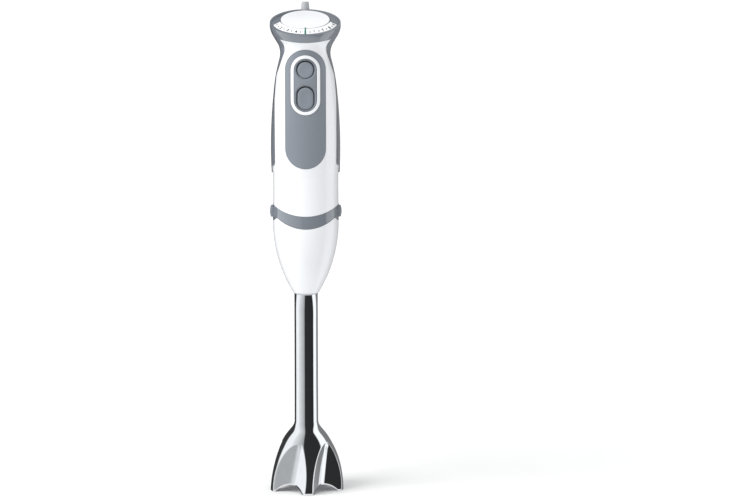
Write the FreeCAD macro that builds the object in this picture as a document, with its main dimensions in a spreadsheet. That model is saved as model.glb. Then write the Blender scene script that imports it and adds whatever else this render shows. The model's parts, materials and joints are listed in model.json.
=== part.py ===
import FreeCAD, Part
import math
import os
from types import SimpleNamespace

import Sketcher

# Immersion blender. Millimetres, +Z up, the controls face -Y.
# The origin is on the axis, on the plane of the bell's feet.

SIZES = [
    # blending shaft
    ("bell_radius", 31.2, "outside of the bell at its feet"),
    ("bell_height", 57.5, "feet to the start of the straight tube"),
    ("bell_curve", 78.0, "curve of the bell's side"),
    ("bell_shoulder_radius", 20.6, "bell where its side turns in"),
    ("bell_shoulder_drop", 17.4, "that place below the tube's foot"),
    ("bell_shoulder_curve", 46.0, "curve of the bell's shoulder"),
    ("bell_neck_step", 2.35, "bell outside the tube, where it hollows into it"),
    ("bell_neck_drop", 5.65, "that place below the tube's foot"),
    ("bell_neck_curve", 8.0, "hollow between bell and tube"),
    ("bell_wall", 1.2, "steel of the bell"),
    ("tube_radius", 9.75, "outside of the straight tube"),
    ("tube_wall", 0.8, "steel of the tube"),
    ("tube_length", 108.5, "straight tube that shows below the cone"),
    ("tube_socket", 30.0, "tube hidden inside the cone"),
    ("flute_radius", 22.0, "hollow between two legs"),
    ("flute_foot", 21.4, "bottom of a hollow to the axis, at the feet"),
    ("flute_top", 20.3, "bottom of a hollow to the axis, at its upper end"),
    ("flute_height", 40.8, "feet to the upper end of a hollow"),
    ("flute_turn", 35.0, "first hollow at the feet, left of the front, degrees"),
    ("flute_sweep", 20.5, "turn of a hollow from the feet to its upper end, degrees"),
    ("notch_height", 6.3, "notch in the rim between two feet"),
    ("notch_width", 27.0, "that notch at the feet"),
    ("leg_count", 5, "legs of the bell"),
    ("cone_length", 56.0, "cone from the tube to the joint"),
    ("cone_foot_wall", 0.85, "cone outside the tube, at its foot"),
    ("cone_top_radius", 27.1, "cone at the joint"),
    ("cone_curve", 114.0, "curve of the cone's side"),
    ("cone_throat_gap", 2.85, "inside of the cone outside the tube, above its foot"),
    ("cone_wall", 2.0, "plastic of the cone"),
    ("sleeve_wall", 3.25, "inner sleeve of the cone, outside the tube"),
    # blade and its drive
    ("blade_gap", 1.3, "blade tip to the inside of the hollows"),
    ("blade_level", 13.0, "blade above the feet"),
    ("blade_thick", 1.5, "blade steel"),
    ("drive_radius", 2.5, "drive shaft"),
    ("bush_length", 9.0, "each plain bush"),
    # handle
    ("handle_length", 155.0, "joint to the underside of the head collar"),
    ("ring_radius", 27.4, "white ring just above the joint"),
    ("waist_radius", 26.9, "white ring at its narrowest"),
    ("waist_height", 44.0, "joint to the foot of the rear cover"),
    ("grip_radius", 28.1, "rear cover at its foot"),
    ("grip_curve", 430.0, "long curve of the grip"),
    ("shoulder_radius", 26.2, "grip where it starts to narrow"),
    ("shoulder_drop", 44.0, "shoulder below the head collar"),
    ("shoulder_curve", 143.0, "curve of the shoulder"),
    ("throat_radius", 23.4, "foot of the straight taper to the neck"),
    ("throat_drop", 25.0, "that foot below the head collar"),
    ("neck_radius", 21.2, "top of that taper"),
    ("neck_drop", 16.0, "top of that taper below the head collar"),
    ("neck_curve", 16.0, "hollow of the neck"),
    ("flare_radius", 23.0, "where the head starts to flare"),
    ("flare_drop", 3.9, "that place below the head collar"),
    ("collar_foot_radius", 26.2, "head collar at its foot"),
    ("collar_radius", 29.2, "head collar at its widest"),
    ("collar_rise", 9.5, "widest place above the collar's underside"),
    ("collar_curve", 19.7, "curve of the collar"),
    ("collar_sag", 92.0, "curve of the collar's lower edge, seen from the front"),
    ("cover_step", 0.4, "front shell below the rear cover's surface"),
    ("shell_wall", 2.6, "wall of both shells"),
    ("panel_thick", 1.3, "control panel"),
    ("seam_gap", 0.15, "gap along every seam of the shells"),
    ("seam_x", 25.8, "half width of the front shell between the covers"),
    # control panel
    ("panel_width", 33.2, "grey panel"),
    ("panel_foot", 49.6, "joint to the panel's lower end"),
    ("panel_top_drop", 8.2, "panel's upper end below the collar"),
    ("trim_width", 24.6, "white ring outside"),
    ("trim_band", 2.95, "width of the white ring's band"),
    ("trim_proud", 0.5, "white ring above the panel"),
    ("trim_foot", 93.6, "joint to the white ring's lower end"),
    ("trim_top_drop", 12.6, "white ring's upper end below the collar"),
    ("power_drop", 24.3, "upper button's centre below the collar"),
    ("power_width", 13.2, "upper button"),
    ("turbo_drop", 47.4, "lower button's centre below the collar"),
    ("turbo_width", 13.2, "lower button"),
    ("turbo_height", 18.2, "lower button, over its ends"),
    ("button_gap", 0.6, "gap round each front button"),
    ("button_depth", 3.0, "depth of a button's cap"),
    ("button_travel", 1.5, "how far the front buttons press in"),
    # joint band and release buttons
    ("joint_gap", 0.3, "gap between the band and the cone"),
    ("band_curve", 51.0, "curve of the band's upper edge"),
    ("band_rise", 10.2, "band height at the front"),
    ("joint_curve", 39.2, "curve of the band's lower edge"),
    ("joint_half", 23.8, "half width of that curve"),
    ("joint_tab", 3.1, "drop of the band's edge at the sides"),
    ("release_foot", 8.0, "release buttons above the joint"),
    ("release_height", 8.2, "release button"),
    ("release_depth", 15.0, "release button, front to back"),
    ("release_proud", 2.5, "release button outside the band"),
    ("release_travel", 2.5, "how far the release buttons press in"),
    # head and dial
    ("head_rise", 12.9, "dial centre above the collar's underside"),
    ("head_tilt", 17.4, "forward tilt of the dial, degrees"),
    ("scale_radius", 27.4, "scale ring outside"),
    ("scale_drop", 2.7, "fall of the scale ring, inside to outside"),
    ("dial_radius", 20.2, "white dial"),
    ("dial_dome", 0.8, "crown of the dial"),
    ("stem_radius", 3.0, "dial stem"),
    ("pointer_width", 1.6, "green pointer"),
    ("gland_back", 31.0, "cord gland behind the axis"),
    ("gland_radius", 3.6, "cord gland"),
    ("gland_rise", 28.0, "top of the cord gland above the collar's underside"),
    ("cord_bore", 2.4, "hole for the cord"),
    # motor
    ("carrier_gap", 0.1, "motor carrier in the waist of the shell"),
    ("carrier_wall", 1.8, "motor carrier"),
    ("carrier_height", 75.0, "motor carrier"),
    ("motor_rise", 17.0, "motor carrier above the joint"),
    ("stator_radius", 20.5, "iron core outside"),
    ("stator_ring", 2.7, "iron ring of the core"),
    ("core_length", 26.0, "iron core"),
    ("armature_radius", 11.5, "rotor iron"),
    ("air_gap", 0.5, "rotor iron to pole shoes"),
    ("slot_count", 12, "slots of the rotor"),
    ("spindle_radius", 2.5, "motor shaft"),
    ("fan_radius", 14.0, "cooling fan"),
    ("fan_blades", 9, "cooling fan"),
    ("commutator_radius", 7.0, "commutator"),
    ("running_gap", 0.05, "turning shaft in its bore"),
    ("fit_gap", 0.2, "piece on its seat"),
]


class Size:
    """A number from the sheet, or a sum of such numbers, with the expression that gives it."""

    def __init__(self, value, text):
        self.value = value
        self.text = text

    def __add__(self, other):
        other = sized(other)
        return Size(self.value + other.value, f"({self.text} + {other.text})")

    def __sub__(self, other):
        other = sized(other)
        return Size(self.value - other.value, f"({self.text} - {other.text})")

    def __mul__(self, other):
        other = sized(other)
        return Size(self.value * other.value, f"({self.text} * {other.text})")

    def __truediv__(self, other):
        other = sized(other)
        return Size(self.value / other.value, f"({self.text} / {other.text})")

    def __radd__(self, other):
        return sized(other) + self

    def __rsub__(self, other):
        return sized(other) - self

    def __rmul__(self, other):
        return sized(other) * self

    def __neg__(self):
        return 0 - self


def sized(number):
    """A plain number as a Size."""
    if isinstance(number, Size):
        return number
    return Size(float(number), f"({float(number)!r})")


def root(size):
    return Size(math.sqrt(size.value), f"sqrt({size.text})")


doc = FreeCAD.newDocument("ImmersionBlender")
sheet = doc.addObject("Spreadsheet::Sheet", "Sizes")
for row, (alias, number, meaning) in enumerate(SIZES, start=1):
    sheet.set(f"A{row}", alias)
    sheet.set(f"B{row}", str(number))
    sheet.set(f"C{row}", meaning)
    sheet.setAlias(f"B{row}", alias)
doc.recompute()
S = SimpleNamespace(**{
    alias: Size(float(sheet.get(alias)), f"Sizes.{alias}") for alias, number, meaning in SIZES
})

# Levels that several pieces share
CONE_FOOT = S.bell_height + S.tube_length
JOINT = CONE_FOOT + S.cone_length
COLLAR = JOINT + S.handle_length
DIAL = COLLAR + S.head_rise
MOTOR = JOINT + S.motor_rise

X_AXIS = FreeCAD.Vector(1, 0, 0)
Y_AXIS = FreeCAD.Vector(0, 1, 0)
Z_AXIS = FreeCAD.Vector(0, 0, 1)
UPRIGHT = FreeCAD.Rotation()
ALONG_X = FreeCAD.Rotation(Y_AXIS, 90)
ALONG_Y = FreeCAD.Rotation(X_AXIS, -90)
WIDE = 80.0  # half size of a cutting block, larger than any piece is wide
SEAT_DEPTH = 2.4  # scale ring below the plane of the dial
BOSS_RISE = 19.6  # top of the cord boss above the collar's underside
BOSS_DROP = 14.0  # foot of the cord boss below it
BOSS_WALL = 2.7
BOSS_CURVE = 40.0

# Seam between the front shell and the rear cover, near the head: half widths, drops and bends
SEAM_SLANT = 1.6
SEAM_NECK = 18.4
SEAM_NECK_DROP = 13.3
SEAM_NECK_BEND = 12.0
SEAM_WAIST = 17.2
SEAM_WAIST_DROP = 8.0
SEAM_TOP = 20.9
SEAM_TOP_BEND = 14.0

# Coupling plate, latches and drive coupler
PLATE_RISE = 10.2
PLATE_THICK = 2.2
PLATE_SCREWS = 18.5
SCREW_RADIUS = 1.5
SCREW_BOSS = 4.3
HUB_ROOM = 9.0
VENT_RADIUS = 15.0
LATCH_DEPTH = 7.0
SPRING = 6.0
COUPLER_RADIUS = 7.0
HEX_FLATS = 7.0
HEX_GAP = 0.35
HEX_DROP = 6.0  # foot of the drive hexagon below the joint
DRIVE_TOP = 6.0  # top of the drive shaft above the joint
CAP_CROWN = 10.5

# Motor: radii, lengths, and levels from the carrier's floor up
SPINDLE_FOOT = 9.5  # foot of the motor shaft above the joint
SPINDLE_TOP = 9.5  # top of the motor shaft above the upper bracket's foot
PRESS_GAP = 0.02  # pressed fit, drawn just clear
SLOT_RADIUS = 1.25
SLOT_MOUTH = 0.5
SLOT_DEPTH = 1.9
COUPLER_LENGTH = 17.0
CARRIER = S.waist_radius - S.shell_wall - S.carrier_gap
CARRIER_BORE = CARRIER - S.carrier_wall
FLOOR_THICK = 1.6
BAR_THICK = 3.0
BEARING_RADIUS = 8.0
BEARING_LENGTH = 6.0
BOSS_HEIGHT = 9.0
BOLT_RADIUS = 1.5
BOLT_PLACE = 16.0
LOWER_BAR = MOTOR + FLOOR_THICK + S.fit_gap
FAN_HEIGHT = 7.0
FAN_HUB = 5.0
FAN = LOWER_BAR + BOSS_HEIGHT + 0.8
CORE = FAN + FAN_HEIGHT + 8
CORE_TOP = CORE + S.core_length
END_TURNS = 5.5
COIL_OVER = 4.5
COIL = 2.6
COIL_WIDTH = 15.0
NECK = 8.0
SHOE = 1.2
SHOE_GAP = 12.0
COMMUTATOR_FOOT = CORE_TOP + END_TURNS + 1.5
COMMUTATOR = 9.5
BRUSH_BOX = 7.4
BRUSH = COMMUTATOR_FOOT + COMMUTATOR + 0.1 - BRUSH_BOX / 2
UPPER_BAR = COMMUTATOR_FOOT + COMMUTATOR + 0.3

# Board, switches and dial parts
BEAM_Y = -6.0
BEAM_RISE = 6.3
BOARD = 1.6
SWITCH = 6.5
PLUNGER = 1.5
BASE_THICK = 2.0
BASE_RADIUS = 26.2
POT_RADIUS = 8.0
HUB_FOOT = -2.1
STEM_TOP = 1.6
GLAND_FOOT = 10.0  # foot of the gland above the collar's underside
GLAND_COLLAR = 1.6  # straight part of the gland above its boss
GLAND_LIP = 0.6

# Cone sleeve and bearings of the blade shaft
SLEEVE = S.tube_radius + S.sleeve_wall
SLEEVE_RISE = 16.0
BUSH_RADIUS = 6.0
SEAL_RADIUS = 5.4
SLEEVE_FLANGE = 30.0
BEARING_DROP = 18.0  # foot of the bearing housing below the tube's foot
HOUSING_LENGTH = 24.0
SEAL_ROOM = 5.0  # foot of the lower bush above the housing's foot

# Blade: half widths of its waist, heel, edge and tip, and the bends of its edges
BLADE_WAIST = 5.0
BLADE_HEEL = 2.4
BLADE_TIP = 0.2
BLADE_EDGE = 3.0
BLADE_FRONT = 30.0
BLADE_NOSE = 8.0
BLADE_BACK = 24.0

nodes = []


# Building blocks ------------------------------------------------------------------------------

def bind(item, **sizes):
    """Set properties of an object from sizes of the sheet."""
    for name, size in sizes.items():
        item.setExpression(name, sized(size).text)


def place(item, x=0, y=0, z=0, turn=UPRIGHT):
    """Put an object at a point given by sizes."""
    point = [sized(value) for value in (x, y, z)]
    item.Placement = FreeCAD.Placement(FreeCAD.Vector(*[p.value for p in point]), turn)
    for letter, size in zip("xyz", point):
        item.setExpression(f"Placement.Base.{letter}", size.text)
    return item


def tilt(item, base=DIAL):
    """Stand an object on the tilted plane of the dial."""
    turn = FreeCAD.Rotation(X_AXIS, S.head_tilt.value)
    item.Placement = FreeCAD.Placement(FreeCAD.Vector(), turn)
    item.setExpression("Placement.Base.z", base.text)
    item.setExpression("Placement.Rotation.Angle", S.head_tilt.text)
    return item


def tilted_disc(radius, foot, top):
    """A disc round the dial's axis, between two heights above its plane."""
    return tilt(revolved([(0, foot), (radius, foot), (radius, top), (0, top)]))


def cylinder(radius, height, x=0, y=0, z=0, turn=UPRIGHT):
    item = doc.addObject("Part::Cylinder", "cylinder")
    bind(item, Radius=radius, Height=height)
    return place(item, x, y, z, turn)


def box(x, y, z, width, depth, height):
    """A box centred on x and y that stands on z."""
    item = doc.addObject("Part::Box", "box")
    bind(item, Length=width, Width=depth, Height=height)
    return place(item, x - sized(width) / 2, y - sized(depth) / 2, z)


def ball(radius, x=0, y=0, z=0):
    item = doc.addObject("Part::Sphere", "ball")
    bind(item, Radius=radius)
    return place(item, x, y, z)


def fuse(*items):
    if len(items) == 1:
        return items[0]
    item = doc.addObject("Part::MultiFuse", "fuse")
    item.Shapes = list(items)
    return item


def common(*items):
    item = doc.addObject("Part::MultiCommon", "common")
    item.Shapes = list(items)
    return item


def cut(base, *tools):
    item = doc.addObject("Part::Cut", "cut")
    item.Base = base
    item.Tool = fuse(*tools)
    return item


def group(*items):
    """Separate solids that share a node."""
    item = doc.addObject("Part::Compound", "group")
    item.Links = list(items)
    return item


def tube(outer, inner, height, x=0, y=0, z=0, turn=UPRIGHT):
    return cut(cylinder(outer, height, x, y, z, turn), cylinder(inner, height, x, y, z, turn))


def node(name, item):
    """Name a finished sub-part."""
    item.Label = name
    nodes.append(item)
    return item


def origin_feature(body, role):
    return [item for item in body.Origin.OriginFeatures if item.Role == role][0]


def drawn(sketch, outline):
    """Draw a closed outline of points (x, y) or (x, y, radius), where a radius bends the edge that
    leaves the point: to the left of its direction when positive, to the right when negative."""
    count = len(outline)
    points = [FreeCAD.Vector(sized(p[0]).value, sized(p[1]).value, 0) for p in outline]
    ends = []
    for i, point in enumerate(outline):
        start, end = points[i], points[(i + 1) % count]
        if len(point) == 2:
            edge = sketch.addGeometry(Part.LineSegment(start, end))
            ends.append((edge, 1, 2))
            continue
        radius = sized(point[2])
        reach = abs(radius.value)
        side = math.copysign(1, radius.value)
        chord = end - start
        left = FreeCAD.Vector(-chord.y, chord.x, 0).normalize()
        depth = math.sqrt(reach ** 2 - chord.Length ** 2 / 4)
        centre = (start + end) * 0.5 - left * side * depth
        edge = sketch.addGeometry(Part.ArcOfCircle(
            Part.Circle(centre, Z_AXIS, reach), *arc_angles(centre, start, end, side)))
        ends.append((edge, 2, 1) if side > 0 else (edge, 1, 2))
        size = radius if side > 0 else -radius
        index = sketch.addConstraint(Sketcher.Constraint("Radius", edge, size.value))
        sketch.setExpression(f"Constraints[{index}]", size.text)
    for i, (edge, first, last) in enumerate(ends):
        follower, follower_first, follower_last = ends[(i + 1) % count]
        sketch.addConstraint(
            Sketcher.Constraint("Coincident", edge, last, follower, follower_first))
    for (edge, first, last), point in zip(ends, outline):
        for kind, value in zip(("DistanceX", "DistanceY"), point[:2]):
            size = sized(value)
            index = sketch.addConstraint(
                Sketcher.Constraint(kind, -1, 1, edge, first, size.value))
            sketch.setExpression(f"Constraints[{index}]", size.text)


def arc_angles(centre, start, end, side):
    """Start and end angles of the counterclockwise arc between two points."""
    first = math.atan2(start.y - centre.y, start.x - centre.x)
    last = math.atan2(end.y - centre.y, end.x - centre.x)
    if side > 0:
        first, last = last, first
    if last < first:
        last += 2 * math.pi
    return first, last


def sketched(plane, outline):
    """A body with one sketch on one of its own origin planes."""
    body = doc.addObject("PartDesign::Body", "body")
    sketch = body.newObject("Sketcher::SketchObject", "outline")
    sketch.AttachmentSupport = [(origin_feature(body, plane), "")]
    sketch.MapMode = "FlatFace"
    drawn(sketch, outline)
    return body, sketch


def revolved(outline):
    """A body turned about Z from an outline in radius and height."""
    body, sketch = sketched("XZ_Plane", outline)
    turn = body.newObject("PartDesign::Revolution", "turn")
    turn.Profile = sketch
    turn.ReferenceAxis = (sketch, ["V_Axis"])
    turn.Angle = 360
    return body


def padded(plane, outline, length):
    """A body pushed out to both sides of one of its origin planes."""
    body, sketch = sketched(plane, outline)
    pad = body.newObject("PartDesign::Pad", "pad")
    pad.Profile = sketch
    pad.Midplane = True
    bind(pad, Length=length)
    return body


def ring_outline(outer, inner):
    """Close an outline from an outer and an inner chain, both given from the foot up."""
    back = []
    for i in range(len(inner) - 1, -1, -1):
        point = inner[i][:2]
        bend = inner[i - 1][2:] if i > 0 else ()
        back.append(tuple(point) + tuple(-sized(radius) for radius in bend))
    return list(outer) + back


def stadium(width, foot, top, y, depth):
    """An upright slot shape from y backwards, round at both ends."""
    half = sized(width) / 2
    block = box(0, y + sized(depth) / 2, foot + half, width, depth, top - foot - width)
    ends = [cylinder(half, depth, 0, y, level, ALONG_Y) for level in (foot + half, top - half)]
    return fuse(block, *ends)


# Handle shells --------------------------------------------------------------------------------

def grip_chain(inset):
    """The grip from above the foot of the rear cover to the flare under the head."""
    return [
        (S.shoulder_radius - inset, COLLAR - S.shoulder_drop, -(S.shoulder_curve - inset)),
        (S.throat_radius - inset, COLLAR - S.throat_drop),
        (S.neck_radius - inset, COLLAR - S.neck_drop, S.neck_curve + inset),
        (S.flare_radius - inset, COLLAR - S.flare_drop),
    ]


def front_chain(inset):
    """The white shell's side, from the joint to the collar."""
    return [
        (S.ring_radius - inset, JOINT),
        (S.waist_radius - inset, JOINT + S.waist_height * 0.65),
        (S.waist_radius - inset, JOINT + S.waist_height - 2),
        (S.grip_radius - S.cover_step - inset, JOINT + S.panel_foot + 2,
         -(S.grip_curve - inset)),
        *grip_chain(inset + S.cover_step),
        (S.collar_foot_radius - 0.6 - inset, COLLAR),
    ]


def rear_chain(inset, top):
    """The grey cover's side, from its foot to the widest place of the head."""
    return [
        (S.grip_radius - inset, JOINT + S.waist_height, -(S.grip_curve - inset)),
        *grip_chain(inset),
        (S.collar_foot_radius - inset, COLLAR + 1.4, -(S.collar_curve - inset)),
        (S.collar_radius - inset, COLLAR + S.collar_rise),
        (S.collar_radius - 0.2 - inset, top),
    ]


def layer(outer, inner):
    """A skin of the front shell between two insets."""
    return revolved(ring_outline(front_chain(sized(outer)), front_chain(sized(inner))))


def front_window(gap):
    """What belongs to the front shell: the ring below the rear cover, and the front above it."""
    edge = S.seam_x - gap
    neck, waist, top = SEAM_NECK - sized(gap), SEAM_WAIST - sized(gap), SEAM_TOP - sized(gap)
    foot = JOINT + S.waist_height - gap
    throat = COLLAR - S.throat_drop - 5
    side = padded("XZ_Plane", [
        (-edge, foot + 8), (-(edge + 8), foot), (-(edge + 8), foot - 30), (edge + 8, foot - 30),
        (edge + 8, foot), (edge, foot + 8), (edge, COLLAR - S.shoulder_drop - 6),
        (edge - SEAM_SLANT, throat), (neck, COLLAR - SEAM_NECK_DROP, SEAM_NECK_BEND),
        (waist, COLLAR - SEAM_WAIST_DROP, SEAM_TOP_BEND), (top, COLLAR - gap, S.collar_sag),
        (-top, COLLAR - gap, SEAM_TOP_BEND), (-waist, COLLAR - SEAM_WAIST_DROP, SEAM_NECK_BEND),
        (-neck, COLLAR - SEAM_NECK_DROP), (-(edge - SEAM_SLANT), throat),
        (-edge, COLLAR - S.shoulder_drop - 6),
    ], WIDE)
    place(side, 0, -WIDE / 2, 0)
    ring = box(0, 0, JOINT - 30, 2 * WIDE, 2 * WIDE, S.waist_height + 30 - gap)
    return fuse(side, ring)


def joint_block(drop):
    """Everything above the saddle-shaped parting line, lowered by a gap."""
    shoulder = S.joint_curve - root(S.joint_curve * S.joint_curve - S.joint_half * S.joint_half)
    reach = S.joint_half + 6
    outline = [
        (-S.joint_half, JOINT + shoulder, -S.joint_curve), (S.joint_half, JOINT + shoulder),
        (reach, JOINT + shoulder - S.joint_tab * 2), (reach, JOINT + 60),
        (-reach, JOINT + 60), (-reach, JOINT + shoulder - S.joint_tab * 2),
    ]
    return place(padded("XZ_Plane", outline, 2 * WIDE), 0, 0, -sized(drop))


def band_top(rise):
    """A cylinder across the handle whose underside is the band's upper edge."""
    return cylinder(S.band_curve, 2 * WIDE, 0, -WIDE, JOINT + rise + S.band_curve, ALONG_Y)


def below_band(rise):
    """Everything below the band's upper edge."""
    block = box(0, 0, JOINT - 20, 2 * WIDE, 2 * WIDE, 20 + rise + S.band_curve * 0.4)
    return cut(block, band_top(rise))


def release_slot(side, gap):
    """The hole that a release button slides in, or its body."""
    return box(side * (S.ring_radius - 1.9), 0, JOINT + S.release_foot - gap, 14,
               S.release_depth + 2 * sized(gap), S.release_height + 2 * sized(gap))


def button_shape(width, height, drop, gap, y, depth):
    """A front button's outline, pushed along Y, larger all round by a gap."""
    middle = COLLAR - drop
    half = sized(height) / 2 + gap
    if sized(width).text == sized(height).text:
        return cylinder(half, depth, 0, y, middle, ALONG_Y)
    return stadium(width + 2 * sized(gap), middle - half, middle + half, y, depth)


def front_shells():
    skin = layer(0, S.shell_wall)
    own = common(skin, front_window(S.seam_gap / 2))
    panel_room = cut(
        stadium_between(S.panel_width + 2 * S.seam_gap, panel_levels(S.seam_gap)),
        revolved(solid_outline(S.panel_thick + S.seam_gap)),
    )
    holes = [button_hole("power"), button_hole("turbo")]
    slots = [release_slot(side, S.seam_gap + 0.05) for side in (-1, 1)]
    node("front_housing", cut(
        own, panel_room, below_band(S.band_rise + S.seam_gap), *holes, *slots))

    panel = common(layer(0, S.panel_thick), stadium_between(S.panel_width, panel_levels(0)))
    node("control_panel", cut(
        panel, stadium_between(S.trim_width + 2 * S.seam_gap, trim_levels(S.seam_gap))))

    inner = S.trim_width - 2 * S.trim_band
    raised = common(
        layer(-S.trim_proud, S.panel_thick), stadium_between(S.trim_width, trim_levels(0)))
    node("panel_trim_ring", cut(raised, stadium_between(inner, trim_levels(-S.trim_band))))

    plate = common(
        layer(0.2, S.panel_thick),
        stadium_between(inner - 2 * S.seam_gap, trim_levels(-(S.trim_band + S.seam_gap))))
    node("button_bezel", cut(plate, button_hole("power"), button_hole("turbo")))


def panel_levels(grow):
    return JOINT + S.panel_foot - grow, COLLAR - S.panel_top_drop + grow


def trim_levels(grow):
    return JOINT + S.trim_foot - grow, COLLAR - S.trim_top_drop + grow


def stadium_between(width, levels):
    foot, top = levels
    return stadium(width, foot, top, -WIDE / 2, WIDE / 2 - 10)


def solid_outline(inset):
    chain = front_chain(sized(inset))
    return chain + [(0, COLLAR), (0, JOINT)]


def button_hole(name):
    if name == "power":
        return button_shape(S.power_width, S.power_width, S.power_drop, S.button_gap, -40, 30)
    return button_shape(S.turbo_width, S.turbo_height, S.turbo_drop, S.button_gap, -40, 30)


def rear_shell():
    top = DIAL + 16
    skin = revolved(ring_outline(
        rear_chain(sized(0), top), rear_chain(S.shell_wall, top)))
    half = S.gland_radius + BOSS_WALL
    spine = revolved([
        (0, COLLAR - BOSS_DROP), (S.neck_radius - 1, COLLAR - BOSS_DROP, BOSS_CURVE),
        (S.gland_back + half, COLLAR + 9), (S.gland_back + half, COLLAR + 40), (0, COLLAR + 40)])
    taper = place(padded("XZ_Plane", [
        (1, COLLAR - BOSS_DROP - 2), (half, COLLAR + 6), (half, COLLAR + 40),
        (-half, COLLAR + 40), (-half, COLLAR + 6), (-1, COLLAR - BOSS_DROP - 2)], WIDE),
        0, WIDE / 2, 0)
    rounded = fuse(
        cylinder(half, WIDE, 0, S.gland_back, COLLAR - 30),
        box(0, S.gland_back / 2, COLLAR - 30, 2 * half, S.gland_back, WIDE))
    boss = common(spine, taper, rounded)
    hollow = revolved(
        [(0, JOINT)] + rear_chain(S.shell_wall - 0.4, top) + [(0, top)])
    boss_outside = cut(boss, hollow)
    above_dial = tilt(cylinder(WIDE, WIDE))
    ring_seat = tilted_disc(S.scale_radius + S.seam_gap, -SEAT_DEPTH, 1)
    base_seat = tilted_disc(BASE_RADIUS + 0.1, -(SEAT_DEPTH + BASE_THICK + 0.1), 1)
    solid = revolved([(0, COLLAR)] + rear_chain(sized(0), top)[4:] + [(0, top)])
    rim = common(solid, tilt(revolved([
        (BASE_RADIUS - 1.6, -7), (WIDE / 2, -7), (WIDE / 2, 0.5), (BASE_RADIUS - 1.6, 0.5)])))
    above_boss = box(0, 0, COLLAR + BOSS_RISE, WIDE, 2 * WIDE, WIDE)
    collar = cut(
        fuse(skin, rim), front_window(-(S.seam_gap / 2)), above_dial, ring_seat, base_seat)
    rear_boss = cut(boss_outside, above_boss, ring_seat, base_seat)
    gland_hole = cylinder(
        S.gland_radius + S.fit_gap / 2, 40, 0, S.gland_back, COLLAR + GLAND_FOOT - 0.1)
    lead_in = cylinder(
        S.cord_bore + 0.5, 14, 0, S.gland_back - 12, COLLAR + GLAND_FOOT - 1, ALONG_Y)
    node("rear_cover", cut(fuse(collar, rear_boss), gland_hole, lead_in))



# Joint band and coupling plate ----------------------------------------------------------------

def coupling():
    inner = S.ring_radius - S.shell_wall + 0.1
    ring = revolved([
        (S.ring_radius - 0.2, JOINT - 2), (S.ring_radius - 0.1, JOINT + 24),
        (inner, JOINT + 24), (inner, JOINT - 2),
    ])
    band = common(ring, joint_block(0))
    slots = [release_slot(side, S.seam_gap + 0.05) for side in (-1, 1)]
    node("coupling_band", cut(band, band_top(S.band_rise), *slots))

    plate_level = JOINT + PLATE_RISE
    disc = cylinder(
        S.waist_radius - S.shell_wall - S.fit_gap, PLATE_THICK, z=plate_level)
    opening = cylinder(HUB_ROOM, PLATE_THICK, z=plate_level)
    notches = [
        box(side * 24, 0, plate_level, 11, S.release_depth + 1.2, PLATE_THICK)
        for side in (-1, 1)]
    vents = []
    for step in range(-2, 3):
        if step:
            angle = math.radians(90 + 14 * step)
            for side in (-1, 1):
                x = VENT_RADIUS * math.cos(angle) * side
                y = VENT_RADIUS * math.sin(angle) * side
                vents.append(cylinder(1.4, PLATE_THICK, x, y, plate_level))
    holes = [cylinder(SCREW_RADIUS + 0.15, PLATE_THICK, x, y, plate_level)
             for x, y in plate_screw_places()]
    node("coupling_plate", cut(disc, opening, *notches, *vents, *holes))

    screws = [screw(x, y, plate_level - 1.2) for x, y in plate_screw_places()]
    node("plate_screws", group(*screws))


def plate_screw_places():
    """Three screws round the hub."""
    return [
        (PLATE_SCREWS * math.cos(angle), PLATE_SCREWS * math.sin(angle))
        for angle in (math.radians(turn) for turn in (45, 135, 270))]


def screw(x, y, level):
    """A pan head and its shank, standing on its head."""
    head = cylinder(SCREW_RADIUS + 1.1, 1.2 - 0.05, x, y, level)
    shank = cylinder(SCREW_RADIUS, PLATE_THICK + 5, x, y, level)
    slot = box(x, y, level, 0.7, 4, 0.6)
    return cut(fuse(head, shank), slot)


# Motor ----------------------------------------------------------------------------------------

def motor_frame():
    """The carrier that holds the motor, with the beam that the board stands on."""
    wall = tube(CARRIER, CARRIER_BORE, S.carrier_height, z=MOTOR)
    floor = tube(CARRIER_BORE + 0.5, HUB_ROOM, FLOOR_THICK, z=MOTOR)
    top = MOTOR + S.carrier_height
    posts = [box(side * (CARRIER - 3.8), BEAM_Y, top - 2, 3.4, 6, BEAM_RISE + 2)
             for side in (-1, 1)]
    beam = box(0, BEAM_Y, top + BEAM_RISE - 2.4, 2 * (CARRIER - 2.7), 6, 2.4)
    bosses = [
        cylinder(SCREW_RADIUS + 1.6, SCREW_BOSS, x, y, MOTOR - SCREW_BOSS + 0.5)
        for x, y in plate_screw_places()]
    threads = [
        cylinder(SCREW_RADIUS + 0.05, SCREW_BOSS + 3, x, y, MOTOR - SCREW_BOSS)
        for x, y in plate_screw_places()]
    node("motor_carrier", cut(fuse(wall, floor, beam, *posts, *bosses), *threads))

    for name, level in (("lower_damping_ring", CORE - 0.5), ("upper_damping_ring", CORE_TOP - 4)):
        node(name, tube(CARRIER_BORE - 0.1, S.stator_radius + 0.1, 4.5, z=level))


def bracket(name, level, boss_level, boss_height, arms):
    """A bearing bracket: a bar across the motor with a boss for the bearing."""
    parts = [box(0, 0, level, 12, 2 * CARRIER_BORE - 1.6, BAR_THICK)]
    if arms:
        parts.append(box(0, 0, level, 2 * CARRIER_BORE - 1.6, 10, BAR_THICK))
    parts.append(cylinder(BEARING_RADIUS + 2, boss_height, z=boss_level))
    outside = common(
        fuse(*parts), cylinder(CARRIER_BORE - S.fit_gap, WIDE, z=level - 20))
    seat = cylinder(BEARING_RADIUS + 0.05, BEARING_LENGTH + 0.1, z=boss_level + 1.2)
    hole = cylinder(S.spindle_radius + 1, WIDE, z=boss_level - 5)
    bolts = [cylinder(BOLT_RADIUS + 0.1, WIDE, 0, side * BOLT_PLACE, level - 10)
             for side in (-1, 1)]
    node(name, cut(outside, seat, hole, *bolts))


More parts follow.
